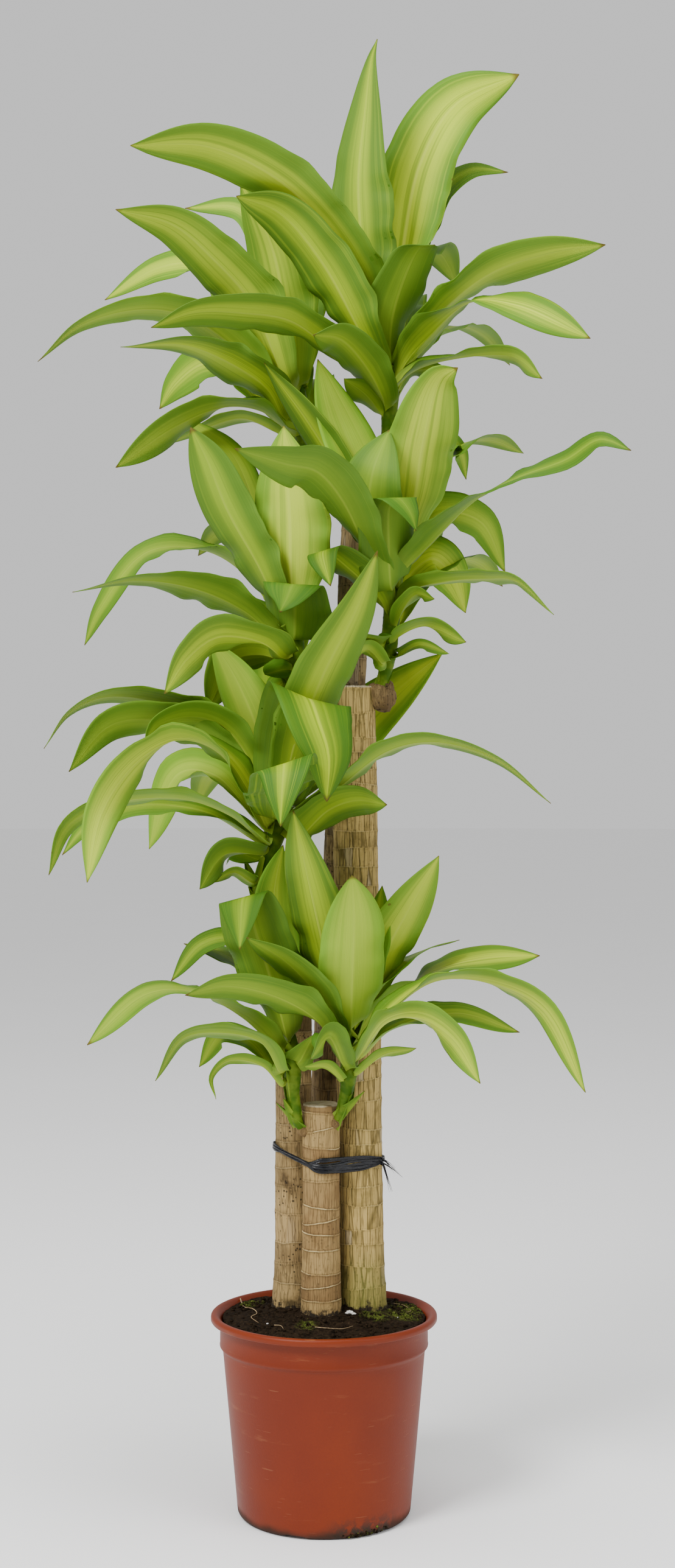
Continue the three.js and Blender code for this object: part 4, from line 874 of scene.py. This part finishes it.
def bark_material(letter):
    look = BARKS[letter]
    s = Shader("bark_" + letter, roughness=0.85, specular=0.2)
    place = s.place()
    height = s.height_of(place)
    phase = s.value("phase") + s.noise(place, 60.0).times_plus(0.14, -0.07)
    row = s.math("FLOOR", phase)
    lifted = s.vector(row * 0.31, 0.0, row * 0.37)

    def anew_each_scar(upright):
        """Places for an upright pattern that starts anew at each scar."""
        drawn = s.stretched(place, 1.0, upright)
        return s.node("ShaderNodeVectorMath", {0: drawn, 1: lifted}, operation="ADD")

    upright = anew_each_scar(0.05)
    grain = s.noise(upright, look.grain, rough=0.6)
    strand = s.noise(upright, look.grain * 3.0, detail=1.0)
    cells = {"Vector": anew_each_scar(0.07), "Scale": PLATE_COUNT}
    plate_colour = s.node("ShaderNodeTexVoronoi", cells, output="Color")
    plate = s.node("ShaderNodeSeparateColor", {0: plate_colour})
    edge = s.node("ShaderNodeTexVoronoi", cells, output="Distance", feature="DISTANCE_TO_EDGE")
    ring = s.node("ShaderNodeTexWhiteNoise", {"W": row}, output="Value", noise_dimensions="1D")
    blotch = s.noise(place, 30.0, 4.0, 0.6)
    crack = s.fade(abs(grain - 0.5), 0.0, 0.035, 1.0, 0.0)
    seam = s.fade(edge, 0.0, 0.07, 0.7, 0.0) * look.bricks
    gap = s.math("PINGPONG", phase, 0.5) * s.value("spacing")
    scar = s.fade(gap, 0.3, 0.9, 1.0, 0.0) * s.fade(s.noise(place, 28.0, 1.0), 0.42, 0.58)
    # painted shade: a dark band to each side of a scar line
    shadow = s.fade(abs(gap - 1.5), 0.2, 1.0, 0.5, 0.0)
    tone = s.math("MAXIMUM", s.fade(ring, 0.35, 0.75) * look.blocks,
                  s.fade(plate, 0.6, 1.0) * (look.bricks * 0.5))
    tone += s.fade(blotch, 0.35, 0.7, -0.15, 0.4)
    s.colour = s.mix(s.fade(tone, 0.0, 1.0), look.light, look.dark)
    s.paint(s.fade(strand, 0.4, 0.75, 0.0, 0.35), look.dark)
    # painted glints: a few plates are painted pale grey as highlights
    s.paint(s.fade(plate, 0.07, 0.04) * (look.bricks * 0.3), PAINTED_GLINT)
    s.paint(s.fade(blotch, 0.56, 0.72, 0.0, look.stain), look.crack)
    # the crack colour paints cracks, plate seams, and the painted shade beside the scars
    for share in (crack * 0.55, seam, shadow * look.rings):
        s.paint(share, look.crack)
    s.paint(scar * look.rings, look.scar)
    s.paint(s.value("dried") * s.fade(blotch, 0.3, 0.55, 0.55, 1.0), DRIED)
    specks = s.specks(place, 190.0, 0.16, 0.3) * s.fade(s.noise(place, 20.0), 0.45, 0.56)
    s.paint(specks * look.stain, DIRT)
    # moss, then dirt, towards the soil
    soil = SOIL.crown * MM
    s.paint(s.fade(height + blotch * 0.07, soil + 0.03, soil + 0.12, 1.0, 0.0) * look.moss, MOSS)
    crumbs = s.noise(place, 110.0, 4.0, 0.7)
    s.paint(s.fade(height + crumbs * 0.06, soil + 0.024, soil + 0.036, 1.0, 0.0), DIRT)
    # the wood that shows where the cane was cut
    wood = s.mix(s.fade(s.noise(place, 130.0, 3.0), 0.35, 0.7), WOOD.pale, WOOD.ring)
    wood = s.mix(s.fade(s.noise(place, 40.0), 0.58, 0.7), wood, WOOD.pith)
    s.paint(s.value("cut"), wood)
    relief = grain * 0.4 + strand * 0.25 - crack * 0.35 - seam + scar * (look.rings * 0.8)
    return s.finish(s.fade(blotch, 0.3, 0.7, 0.78, 0.95), relief, depth=1.2)


def soil_material():
    s = Shader("soil", roughness=1.0, specular=0.05)
    place = s.place()
    crumb, lump = s.noise(place, 230.0, 5.0, 0.75), s.noise(place, 38.0, 3.0)
    s.colour = s.mix(s.fade(crumb, 0.3, 0.75), EARTH.black, EARTH.crumb)
    s.paint(s.fade(lump, 0.5, 0.7, 0.0, 0.5), EARTH.lump)
    s.paint(s.specks(place, 260.0, 0.1, 0.17) * s.fade(lump, 0.45, 0.7, 0.0, 0.6), EARTH.fleck)
    grown = s.value("moss") * s.fade(s.noise(place, 120.0, 4.0, 0.7), 0.44, 0.56)
    s.paint(grown, s.mix(s.fade(crumb, 0.35, 0.65), EARTH.moss_dark, EARTH.moss_light))
    return s.finish(s.fade(crumb, 0.3, 0.7, 0.85, 1.0), crumb + lump * 0.5, depth=3.0)


def pot_material():
    s = Shader("pot", roughness=0.45, specular=0.22)
    place = s.place()
    height = s.height_of(place)
    cloud, mottle = s.noise(place, 7.0, 3.0), s.noise(place, 420.0)
    rubbed = s.noise(s.stretched(place, 1.0, 6.0), 14.0, 5.0, 0.65)
    s.colour = s.mix(s.fade(cloud, 0.3, 0.7), POT_RED.main, POT_RED.light)
    s.paint(s.fade(mottle, 0.3, 0.7, 0.0, 0.16), POT_RED.dull)
    s.paint(s.fade(rubbed, 0.6, 0.78, 0.0, 0.22), POT_RED.chalk)
    # painted highlight: the lip, from its foot up, is painted lighter
    lip_foot = (POT.height - POT.lip_drop) * MM
    s.paint(s.fade(height, lip_foot - 0.002, lip_foot + 0.003, 0.0, 0.35), POT_RED.light)
    scratch = s.fade(s.noise(s.stretched(place, 0.3, 5.0), 90.0), 0.71, 0.74)
    s.paint(scratch * 0.25, POT_RED.chalk)
    # darker along the foot, in uneven patches, and soil dried on at one side
    dark_foot = s.fade(height - s.noise(place, 22.0, 4.0) * 0.022, -0.008, 0.004, 1.0, 0.0) * 0.85
    s.paint(dark_foot, DIRT)
    s.paint(s.value("dirt") * s.fade(s.noise(place, 90.0, 5.0, 0.7), 0.4, 0.55), DIRT)
    return s.finish(s.fade(cloud, 0.2, 0.8, 0.4, 0.52) + dark_foot * 0.4, mottle + scratch * -0.8, depth=0.12)


def ribbon_material():
    s = Shader("ribbon", roughness=0.3, specular=0.3)
    fibre = s.noise(s.stretched(s.place(), 1.0, 9.0), 130.0, 3.0, 0.6)
    s.colour = s.mix(s.fade(fibre, 0.4, 0.7), RIBBON.dark, RIBBON.light)
    return s.finish(s.fade(fibre, 0.3, 0.7, 0.18, 0.4), fibre, depth=0.35)


def speck_material(name, tones):
    """Root fibre or perlite: one light colour, mottled towards a darker one."""
    s = Shader(name, roughness=0.8, specular=0.3)
    mottle = s.noise(s.place(), 300.0, 3.0)
    s.colour = s.mix(s.fade(mottle, 0.35, 0.7), tones.light, tones.dark)
    return s.finish(height=mottle, depth=0.3)


def floor_material():
    s = Shader("floor", roughness=0.9, specular=0.1)
    s.colour = s.mix(s.noise(s.place(), 1.5), FLOOR.dark, FLOOR.light)
    return s.finish()


# ---- canes

CANE_SIDES = 72
CANE_STEP = 2.2                             # mm between a cane's drawn rings
CANE_VALUES = ("phase", "spacing", "cut", "dried")
# Heights of the scars on the front cane, and how much each rises to the right, in mm.
FRONT_SCARS = [(244, 2), (262, 0), (278, 7), (293, -2), (321, 0), (340, -3), (354, 8), (371, -5),
               (402, 0), (425, -6), (441, -3), (463, 10), (483, -2)]
SCAR_STEPS = {"b": 27.0, "c": 24.0, "d": 30.0}
CUT_EDGE = {5: 0.0, 2.5: 0.3, 0.8: 1.0, 0: 2.2}     # depths below the top: how far the bark draws in
CANE_NOISE = Named(plate=0.55, bark=0.5, bark_size=14, bend=0.9, bend_size=120)
CANE_FLARE_HEIGHT = 90
SCAR = Named(ridge=0.45, width=1.8, hollow=0.25, least_gap=6.0, end_gap=30)
COLLAR = Named(radii=(9.5, 9.5, 7), sunk=3, spacing=40.0)


def cane_centre(cane, z):
    share = (z - SOIL.edge) / (cane.top[2] - SOIL.edge)
    return lerp(cane.foot[0], cane.top[0], share), lerp(cane.foot[1], cane.top[1], share)


def in_cane(x, y, margin=0.0):
    """Whether a place on the soil is inside a cane, or nearer to it than the margin."""
    return any(math.hypot(x - c.foot[0], y - c.foot[1]) < c.radius + c.flare + margin
               for c in CANES.values())


def scars_of(letter, rng):
    """Each scar as its height, how much it rises to one side, and the bearing of that side."""
    if letter == "a":
        return [(z, rise / 2, 0.0) for z, rise in FRONT_SCARS]
    z, scars = SOIL.edge + 12.0, []
    while z < CANES[letter].top[2] - 12:
        scars.append((z, rng.uniform(-3.2, 3.2), rng.uniform(0, 2 * math.pi)))
        z += SCAR_STEPS[letter] * rng.uniform(0.7, 1.3)
    return scars


def between_scars(scars, angle, z):
    """Which ring of bark a point is on, how far up that ring it is, and the ring's height."""
    lines = [h + rise * math.cos(angle - bearing) for h, rise, bearing in scars]
    lines = [lines[0] - SCAR.end_gap] + lines + [lines[-1] + SCAR.end_gap]
    k = 0
    while k < len(lines) - 2 and z > lines[k + 1]:
        k += 1
    gap = max(SCAR.least_gap, lines[k + 1] - lines[k])
    return k, clamp((z - lines[k]) / gap, 0, 0.999), gap


def make_cane(letter, material):
    cane = CANES[letter]
    top, foot = cane.top[2], SOIL.edge - BURIED
    scars = scars_of(letter, random.Random(40 + ord(letter)))
    insets = {top - below: inset for below, inset in CUT_EDGE.items()}
    bark_top, *rim = insets
    start = SOIL.edge - 8
    rows = round((bark_top - start) / CANE_STEP)
    heights = [foot, foot + 8, *np.arange(foot + 20, SOIL.edge - 12, 14)]
    heights += [*np.linspace(start, bark_top, rows + 1), *rim]
    insets[foot] = 4.0
    seed = 7.3 * ord(letter)
    points, rings = [], []
    for z in heights:
        x0, y0 = cane_centre(cane, z)
        flare = cane.flare * (1 - smooth(z, SOIL.edge - 4, SOIL.edge + CANE_FLARE_HEIGHT))
        for angle in bearings(CANE_SIDES):
            k, part, gap = between_scars(scars, angle, z)
            near = min(part, 1 - part) * gap
            ridge = SCAR.ridge * bell(near, SCAR.width) - SCAR.hollow * (1 - part) ** 3
            x, y = polar(1, angle)
            plate = noise.noise(Vector((x * 5 + seed, y * 5, k * 3.1)))
            bark = CANE_NOISE.plate * plate
            bark += CANE_NOISE.bark * wobble(x * 22, y * 22, z, CANE_NOISE.bark_size, seed)
            bend = CANE_NOISE.bend * wobble(x * 10, y * 10, z, CANE_NOISE.bend_size, seed)
            r = cane.radius + flare + ridge + bark + bend - insets.get(z, 0.0)
            points.append((x0 + r * x, y0 + r * y, z + 0.5 * plate * (z == top)))
            rings.append((k + part, gap, float(z >= rim[1])))
    # each end shrinks to a middle point
    points += [(*cane_centre(cane, foot), foot), (*cane_centre(cane, top), top - 0.6)]
    rings += [(0.0, SCAR.end_gap, 0.0), (rings[-1][0], SCAR.end_gap, 1.0)]
    faces = tube_faces(len(heights), CANE_SIDES, closed=False)
    last = (len(heights) - 1) * CANE_SIDES
    for s in range(CANE_SIDES):
        t = (s + 1) % CANE_SIDES
        faces += [(t, s, len(points) - 2), (last + s, last + t, len(points) - 1)]
    phase, spacing, cut = zip(*rings)
    skin = Skin(*CANE_VALUES)
    skin.add(points, faces, phase=phase, spacing=spacing, cut=cut)
    skin.build(f"cane_{letter}_bark", "bark", material, replaces=[f"cane_{letter}"])


def make_knob(material):
    """The dried stub at the top of the thick cane: an uneven lump with a rim where it broke."""
    radius, (x, y, z) = KNOB.radius, KNOB.centre
    skin = Skin(*CANE_VALUES)
    lumpy_ball(skin, (x, y, z), (radius, radius * 0.95, radius * KNOB.stretch), 4.7, 0.16, rows=26,
               sides=36, lean=math.radians(KNOB.lean), phase=0.45, spacing=COLLAR.spacing, dried=0.85)
    lumpy_ball(skin, (x + 6, y - 5, z + 12), (8, 8, 7), 9.1, 0.22, phase=0.3, spacing=COLLAR.spacing,
               dried=1.0)
    skin.build("cane_c_stub", "bark", material)


def make_calluses(material):
    """The corky collars where the shoots have broken out of the canes."""
    skin = Skin(*CANE_VALUES)
    for index, head in enumerate(HEADS):
        route, cane = Route([seen(*p) for p in head.shoot]), head.cane
        for share in np.linspace(0, 0.5, 40):
            spot = route.at(share)
            x0, y0 = cane_centre(cane, spot[2])
            out = math.hypot(spot[0] - x0, spot[1] - y0)
            if out > cane.radius - COLLAR.sunk or spot[2] > cane.top[2]:
                break
        lumpy_ball(skin, spot, COLLAR.radii, 2.2 * index + 0.4, 0.13, rows=16, sides=26, phase=0.45,
                   spacing=COLLAR.spacing, dried=0.5)
    skin.build("shoot_collars", "bark", material)


# ---- soil

# The soil's unevenness: how high, how wide, the level the noise is cut at, and seed.
SOIL_LUMPS = ((2.2, 34, 0, 3.1), (1.6, 13, 0, 8.2), (1.1, 5.5, 5, 1.7))
BANK = Named(height=2.5, width=7)            # soil heaped against the canes
SURFACE = 1.2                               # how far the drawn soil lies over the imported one
MOSS_PATCHES = ((108, 28, 26), (92, -18, 20), (60, -34, 16), (-20, -72, 12), (28, 96, 20), (-88, 40, 14))
TUFTS = 650
TUFT_RINGS = ((0, 0.5), (0.6, 0.42), (1, 0.12))     # share of the height, and radius in mm
CRUMBS = Named(count=420, sizes=(1.1, 1.4, 1.8, 2.4, 3.2))
ROOTLETS = [
    [(-104, 78), (-101, 52), (-97, 30), (-86, 12), (-80, -14), (-86, -34), (-77, -48)],
    [(84, 38), (96, 30), (104, 12), (98, -6)],
    [(-10, -78), (4, -84), (22, -82), (34, -76)],
    [(-60, -66), (-50, -74), (-46, -84)],
    [(20, 98), (-4, 102), (-28, 96)],
]
GRAINS = [(31, -33, 3.4), (35, -37, 2.2), (27, -38, 1.6), (-66, -58, 1.1), (88, -30, 1.2), (-52, 70, 1.5),
          (60, 70, 1.4)]                    # perlite: x, y and size
FOOT_DIRT = Named(bearing=-62, spread=9, count=90, size=(0.9, 2.3), sunk=(0.2, 2.5), climb=3.2)


def soil_height(x, y):
    heap = lerp(SOIL.crown, SOIL.edge, clamp(math.hypot(x, y) / SOIL.radius))
    lump = sum(high * wobble(x, y, level, size, seed) for high, size, level, seed in SOIL_LUMPS)
    crumb = 0.9 * abs(wobble(x, y, 0, 3.1, 5.5))
    gaps = [math.hypot(x - c.foot[0], y - c.foot[1]) - c.radius for c in CANES.values()]
    banked = BANK.height * math.exp(-max(0.0, min(gaps)) / BANK.width)
    return heap + lump + crumb + banked + SURFACE


def moss_at(x, y):
    return max(clamp(1.25 - math.hypot(x - px, y - py) / size) for px, py, size in MOSS_PATCHES)


def make_soil_top(material):
    """The crumbly surface: a closed layer on the packed soil, open where the canes stand."""
    cell, radius = SOIL.cell, SOIL.radius
    reach = range(-int(radius // cell) - 1, int(radius // cell) + 2)
    spots = {}
    for i in reach:
        for j in reach:
            gone = math.hypot(i * cell, j * cell)
            if gone <= radius + cell * 1.1:
                drawn_in = cell * min(1, radius / max(gone, cell))
                spots[i, j] = i * drawn_in, j * drawn_in
    quads = []
    for i, j in spots:
        quad = [(i, j), (i + 1, j), (i + 1, j + 1), (i, j + 1)]
        if all(c in spots for c in quad) and not in_cane(*np.mean([spots[c] for c in quad], axis=0), -2):
            quads.append(quad)
    kept = {c for quad in quads for c in quad}
    places = [c for c in spots if c in kept]
    number = {c: n for n, c in enumerate(places)}
    quads = [[number[c] for c in quad] for quad in quads]
    n = len(places)
    edges = [edge for q in quads for edge in zip(q, q[1:] + q[:1])]
    shared = set(edges)
    faces = quads + [[k + n for k in reversed(q)] for q in quads]
    faces += [(b, a, a + n, b + n) for a, b in edges if (b, a) not in shared]
    flat = [spots[c] for c in places]
    points = [(*p, soil_height(*p)) for p in flat] + [(*p, SOIL.edge - 3.0) for p in flat]
    skin = Skin("moss")
    skin.add(points, faces, moss=[moss_at(*p) for p in flat] * 2)
    rng = random.Random(11)
    for k in range(CRUMBS.count):
        angle, gone = rng.uniform(0, 2 * math.pi), SOIL.radius * math.sqrt(rng.uniform(0.02, 0.93))
        x, y = polar(gone, angle)
        size = rng.choice(CRUMBS.sizes)
        if not in_cane(x, y, size * 0.4):
            radii = (size, size * rng.uniform(0.6, 1), size * rng.uniform(0.5, 0.9))
            lumpy_ball(skin, (x, y, soil_height(x, y) + size * 0.3), radii, k * 0.7, 0.3, rows=5, sides=7,
                       moss=moss_at(x, y))
    skin.build("soil_surface", "soil", material)


def make_moss(material):
    """Short tufts that stand up from the mossy patches."""
    skin, rng = Skin("moss"), random.Random(5)
    planted = 0
    while planted < TUFTS:
        x, y = rng.uniform(-118, 118), rng.uniform(-118, 118)
        if math.hypot(x, y) > SOIL.radius - 3 or rng.random() > moss_at(x, y) ** 1.5 or in_cane(x, y):
            continue
        tall = rng.uniform(1.6, 3.6)
        lean = np.array([*(rng.uniform(-1, 1) * tall * 0.5 for _ in range(2)), 0.0])
        foot = np.array([x, y, soil_height(x, y) - 0.5])
        points = [foot + lean * share ** 2 + (*polar(radius, angle + planted), tall * share)
                  for share, radius in TUFT_RINGS for angle in bearings(4)]
        skin.add(points, tube_faces(len(TUFT_RINGS), 4), moss=1.0)
        planted += 1
    skin.build("moss", "soil", material)


def make_rootlets(material):
    """Bare root fibres that lie on the soil; the first is a thick one."""
    skin = Skin("moss")
    for k, line in enumerate(ROOTLETS):
        spots = [(x, y, soil_height(x, y) + 0.9 + 0.7 * (i % 2)) for i, (x, y) in enumerate(line)]
        thick = 0.5 if k else 0.85
        sweep(skin, Route(spots, samples=60), lambda t, a: thick * (1.1 - 0.8 * t), 7, start=UP)
    skin.build("rootlets", "soil", material)


def make_perlite(material):
    skin, rng = Skin("moss"), random.Random(3)
    for k, (x, y, size) in enumerate(GRAINS):
        lumpy_ball(skin, (x, y, soil_height(x, y) + size * 0.35), (size * 1.3, size * 0.7, size * 0.7),
                   k * 1.9, 0.3, rows=8, sides=12, lean=rng.uniform(-0.5, 0.5))
    skin.build("perlite", "soil", material)


def make_foot_dirt(material):
    """Soil and moss that has dried on at the right of the pot's foot."""
    skin, rng = Skin("moss"), random.Random(21)
    for k in range(FOOT_DIRT.count):
        angle = math.radians(rng.gauss(FOOT_DIRT.bearing, FOOT_DIRT.spread))
        radius = POT.base - rng.uniform(*FOOT_DIRT.sunk)
        z = abs(rng.gauss(0, FOOT_DIRT.climb)) + 2.6
        below_edge = 1 - min(1, z / POT.edge)
        radius -= 0.9 * POT.edge * (1 - math.sqrt(1 - below_edge ** 2))
        size = rng.uniform(*FOOT_DIRT.size)
        lumpy_ball(skin, (*polar(radius, angle), z), (size, size, size * 0.8), k * 1.3, 0.32, rows=6,
                   sides=9, moss=clamp(rng.uniform(-0.8, 0.9)))
    skin.build("foot_dirt", "soil", material)


# ---- pot

WARP = Named(oval=0.35, waves=0.12, wave_count=5, foot=20)      # a moulded wall is never quite true
PATCH = Named(edge=0.86, full=0.99, top=(8, 26), least_radius=90)   # dirt on the wall and underside
NOTCH_EDGE = 1.2                            # degrees over which a drain notch fades in


def arc(x, z, radius, degrees):
    """Points of a rounded edge round a middle point, at these angles."""
    return [(x + across, z + up) for across, up in (polar(radius, math.radians(a)) for a in degrees)]


def pot_outline():
    """The pot's section from its underside, up outside, over the lip and down inside."""
    p = POT
    lip_foot = p.height - p.lip_drop
    step, collar, lip = ((p.step, p.step_foot), (p.collar, p.collar_foot), (p.lip, lip_foot))

    def near(corner, *offsets):
        return [(corner[0] + across, corner[1] + up) for across, up in offsets]

    wall = [(lerp(p.base, p.step, t), lerp(p.edge, p.step_foot, t))
            for t in (0.1, 0.25, 0.4, 0.55, 0.7, 0.85, 0.97)]
    inner_base = p.base - p.wall
    return [
        (40, 0), (80, 0), *arc(p.base - p.edge, p.edge, p.edge, range(-90, 1, 15)), *wall,
        *near(step, (0.1, 0), (0.5, 1.4), (1.8, 3)),
        *near(collar, (-0.5, -0.9), (0.2, 0.1), (0.4, 1.4), (0, 3)),
        (p.collar, lip_foot - 3), (p.collar + 0.8, lip_foot - 1),
        *near(lip, (-3.5, -0.2), (-1, 0.4), (0, 1.8)), (p.lip, p.height - 4.2),
        *arc(p.lip - p.lip_round, p.height - p.lip_round, p.lip_round, range(0, 91, 18)),
        (p.mouth + 1.6, p.height - 0.5), (p.mouth, p.height - 2),
        (p.collar - p.wall + 1, lip_foot + 3), (p.collar - p.wall, lip_foot),
        (p.step - p.wall, p.step_foot), (inner_base, p.edge + p.floor),
        (inner_base - p.inner_edge, p.floor), (60, p.floor)]


def notch_at(angle):
    """How fully a drain notch is cut at an angle, from 0 to 1."""
    off = min(abs((math.degrees(angle) - DRAIN.first_angle - i * 360 / DRAIN.count + 180) % 360 - 180)
              for i in range(DRAIN.count))
    half_angle = math.degrees(DRAIN.width / 2 / POT.base)
    return 1 - smooth(off, half_angle - NOTCH_EDGE, half_angle + NOTCH_EDGE)


def make_pot(material):
    rings = pot_outline()
    points, dirt = [], []
    for radius, z in rings:
        for angle in bearings(POT.sides):
            r, h = radius, z
            # the foot is lifted where the drain notches cut through the rounded edge
            if r > POT.base - DRAIN.depth / 2 - 1 and z < DRAIN.height:
                h = lerp(h, DRAIN.height, notch_at(angle))
            if WARP.foot < z < POT.height:
                r += WARP.oval * math.sin(2 * angle + 0.7) * (z / POT.height)
                r += WARP.waves * math.sin(WARP.wave_count * angle + z * 0.02)
            points.append((*polar(r, angle), h))
            facing = math.cos(angle - math.radians(FOOT_DIRT.bearing))
            patch = smooth(facing, PATCH.edge, PATCH.full) * (1 - smooth(z, *PATCH.top))
            dirt.append(patch * (radius > PATCH.least_radius))
    skin = Skin("dirt")
    skin.add(points, tube_faces(len(rings), POT.sides), dirt=dirt)
    skin.build("pot_shell", "pot", material, replaces=["pot"])


# ---- tie

# Each strand: where it runs in the fan, its half-width, and how much it climbs at the right.
STRANDS = ((-6.6, 2.3, 0), (-3.6, 2.2, 0), (-0.9, 2.1, 0), (1.6, 1.5, 1.0), (2.4, 1.6, 3.5), (6.2, 1.3, 0),
           (8.3, 1.5, 0), (-7.9, 1.1, 0.6), (-5.2, 0.9, 4.0), (7.2, 1.0, -2.5))
STRAND = Named(thick=0.28, samples=150, sides=8)
# The frayed ends: slope in degrees, and length as a share of the tail, for hanging ones and others.
TIE_ENDS = Named(count=11, bearing=-28, width=(0.5, 1.15))
HANGING = Named(slope=(70, 84), length=(0.62, 0.95), droop=0)
STICKING_OUT = Named(slope=(22, 50), length=(0.35, 0.66), droop=2.5)


def tight_outline(circles):
    """The hull of the circles' points: how a band pulled tight round them runs."""
    points = sorted((x + across, y + up) for x, y, r in circles
                    for across, up in arc(0, 0, r, range(0, 360, 10)))

    def half(ordered):
        hull = []
        for x, y in ordered:
            while len(hull) > 1:
                (x0, y0), (x1, y1) = hull[-2:]
                if (x1 - x0) * (y - y0) - (y1 - y0) * (x - x0) > 0:
                    break
                hull.pop()
            hull.append((x, y))
        return hull[:-1]

    return half(points) + half(points[::-1])


def band_height(x):
    """The band climbs towards the left, as the solid's does."""
    start = CANES["a"].foot[0] - CANES["a"].radius / 3
    end = CANES["b"].foot[0] - CANES["b"].radius
    return TIE.height + TIE.rise * clamp((x - start) / end)


def strand_spots(k, spread, climb):
    """The middle line of a strand, pulled tight round the canes and fanned out over the front."""
    out = TIE.ridge + TIE.slack + 0.4 + 0.3 * (k % 4)
    loop = tight_outline([(*cane_centre(c, TIE.height), c.radius + out) for c in CANES.values()])
    turns = np.array(loop + loop[:1])
    gone, want = evenly(turns, STRAND.samples)
    flat = [np.interp(want[:-1], gone, turns[:, axis]) for axis in (0, 1)]
    spots = []
    for (x, y), angle in zip(zip(*flat), bearings(STRAND.samples)):
        front = smooth(-y, -6, 22) * smooth(x, -24, -2) * (1 - 0.35 * smooth(x, 42, 66))
        fan = max(front, 0.45 * smooth(y, 30, 60), 0.45 * smooth(-x, 46, 60), 0.16)
        sway = 0.5 * math.sin(angle * 5 + k)
        spots.append((x, y, band_height(x) + sway + spread * fan + climb * smooth(x, 14, 34) * front))
    return np.array(spots)


def make_tie(material):
    """Several strands of the ribbon, bunched at the left and fanned out over the front."""
    skin = Skin("moss")
    samples, sides = STRAND.samples, STRAND.sides
    for k, (spread, width, climb) in enumerate(STRANDS):
        spots = strand_spots(k, spread, climb)
        centre = spots.mean(axis=0)
        points = []
        for i, turn in enumerate(bearings(samples)):
            along = unit(spots[(i + 1) % samples] - spots[i - 1])
            outward = unit(np.cross(along, UP))
            if outward @ (spots[i] - centre) < 0:
                outward = -outward
            upward = np.cross(outward, along)
            roll = 0.5 * math.sin(turn * (3 + k % 3) + 2 * k)
            for angle in bearings(sides):
                flat = upward * math.cos(angle) * width + outward * math.sin(angle) * STRAND.thick
                points.append(spots[i] + turned(flat, along, roll))
        faces = tube_faces(samples + 1, sides, closed=False)
        skin.add(points, [[corner % len(points) for corner in face] for face in faces])
    skin.build("tie_strands", "tie", material, replaces=["tie"])


def make_tie_ends(material):
    """The frayed ends at the right of the thick cane; every other one hangs."""
    skin, rng = Skin("moss"), random.Random(8)
    middle = cane_centre(CANES["c"], TIE.height)
    out = polar(CANES["c"].radius + 2, math.radians(TIE_ENDS.bearing))
    start = np.array([middle[0] + out[0], middle[1] + out[1], TIE.height])
    for k in range(TIE_ENDS.count):
        kind = HANGING if k % 2 else STICKING_OUT
        slope = math.radians(rng.uniform(*kind.slope))
        length = TIE.tail * rng.uniform(*kind.length)
        forward, down = math.cos(slope), math.sin(slope)
        away = np.array([forward, -0.35 * forward + rng.uniform(-0.1, 0.1), -down])
        begin = start + (rng.uniform(-2.5, 0.5), rng.uniform(-2, 2), rng.uniform(-4, 4) - 2 * (k % 2))
        clear = begin + (3.5, -1.2, -1.5)
        spots = [begin, begin + (3.0, -1.0, -1.0), clear + away * length * 0.5,
                 clear + away * length - UP * kind.droop]
        width = rng.uniform(*TIE_ENDS.width)
        sweep(skin, Route(spots, samples=18), lambda t, a: width * (1 - 0.6 * t), 6, squash=0.35, spin=1.2)
    skin.build("tie_ends", "tie", material)


# ---- the plant


def build_plant():
    leaf, soil, ribbon = leaf_material(), soil_material(), ribbon_material()
    barks = {letter: bark_material(letter) for letter in CANES}
    for index, head in enumerate(HEADS):
        make_head(index, head, leaf)
    for letter, bark in barks.items():
        make_cane(letter, bark)
    make_knob(barks["b"])
    make_calluses(barks["a"])
    packed_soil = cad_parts["soil"]
    packed_soil.data.materials.clear()
    packed_soil.data.materials.append(soil)
    make_soil_top(soil)
    make_moss(soil)
    make_rootlets(speck_material("root_fibre", FIBRE))
    make_perlite(speck_material("perlite", PERLITE))
    make_pot(pot_material())
    make_foot_dirt(soil)
    make_tie(ribbon)
    make_tie_ends(ribbon)


# ---- stage, light and camera, in metres

LAMPS = {                                   # place, size and watts
    "key": ((-1.7, -2.2, 3.1), 1.4, 165),
    "fill": ((2.4, -1.8, 1.8), 1.8, 30),
    "top": ((0.3, -0.9, 4.6), 2.0, 100),
}
LAMPS_AIM = Vector((0, 0, 0.9))


def make_stage():
    """A wide pale floor: a flat disc round the plant."""
    sides = FLOOR.sides
    points = [(*polar(radius, angle), 0.0) for radius in FLOOR.rings for angle in bearings(sides)]
    faces = [f[::-1] for f in tube_faces(len(FLOOR.rings), sides, closed=False)] + [tuple(range(sides))]
    mesh = bpy.data.meshes.new("floor")
    mesh.from_pydata(points, [], faces)
    mesh.polygons.foreach_set("use_smooth", [True] * len(faces))
    mesh.materials.append(floor_material())
    add_object("floor", mesh)


def make_light_and_camera():
    world = bpy.data.worlds.new("studio")
    world.use_nodes = True
    sky = world.node_tree.nodes["Background"].inputs
    sky["Color"].default_value = (1.0, 1.0, 1.0, 1.0)
    sky["Strength"].default_value = 0.78
    bpy.context.scene.world = world
    for name, (place, size, watts) in LAMPS.items():
        light = bpy.data.lights.new(name, "AREA")
        light.shape, light.size, light.energy = "DISK", size, watts
        lamp = add_object(name, light)
        lamp.location = place
        lamp.rotation_euler = (LAMPS_AIM - lamp.location).to_track_quat("-Z", "Y").to_euler()
    camera = bpy.data.cameras.new("camera")
    camera.lens, camera.sensor_width, camera.clip_end = 50, 36, 50
    view = add_object("camera", camera)
    view.location = EYE * MM
    view.rotation_euler = (math.pi / 2, 0, 0)
    bpy.context.scene.camera = view


build_plant()
make_stage()
make_light_and_camera()
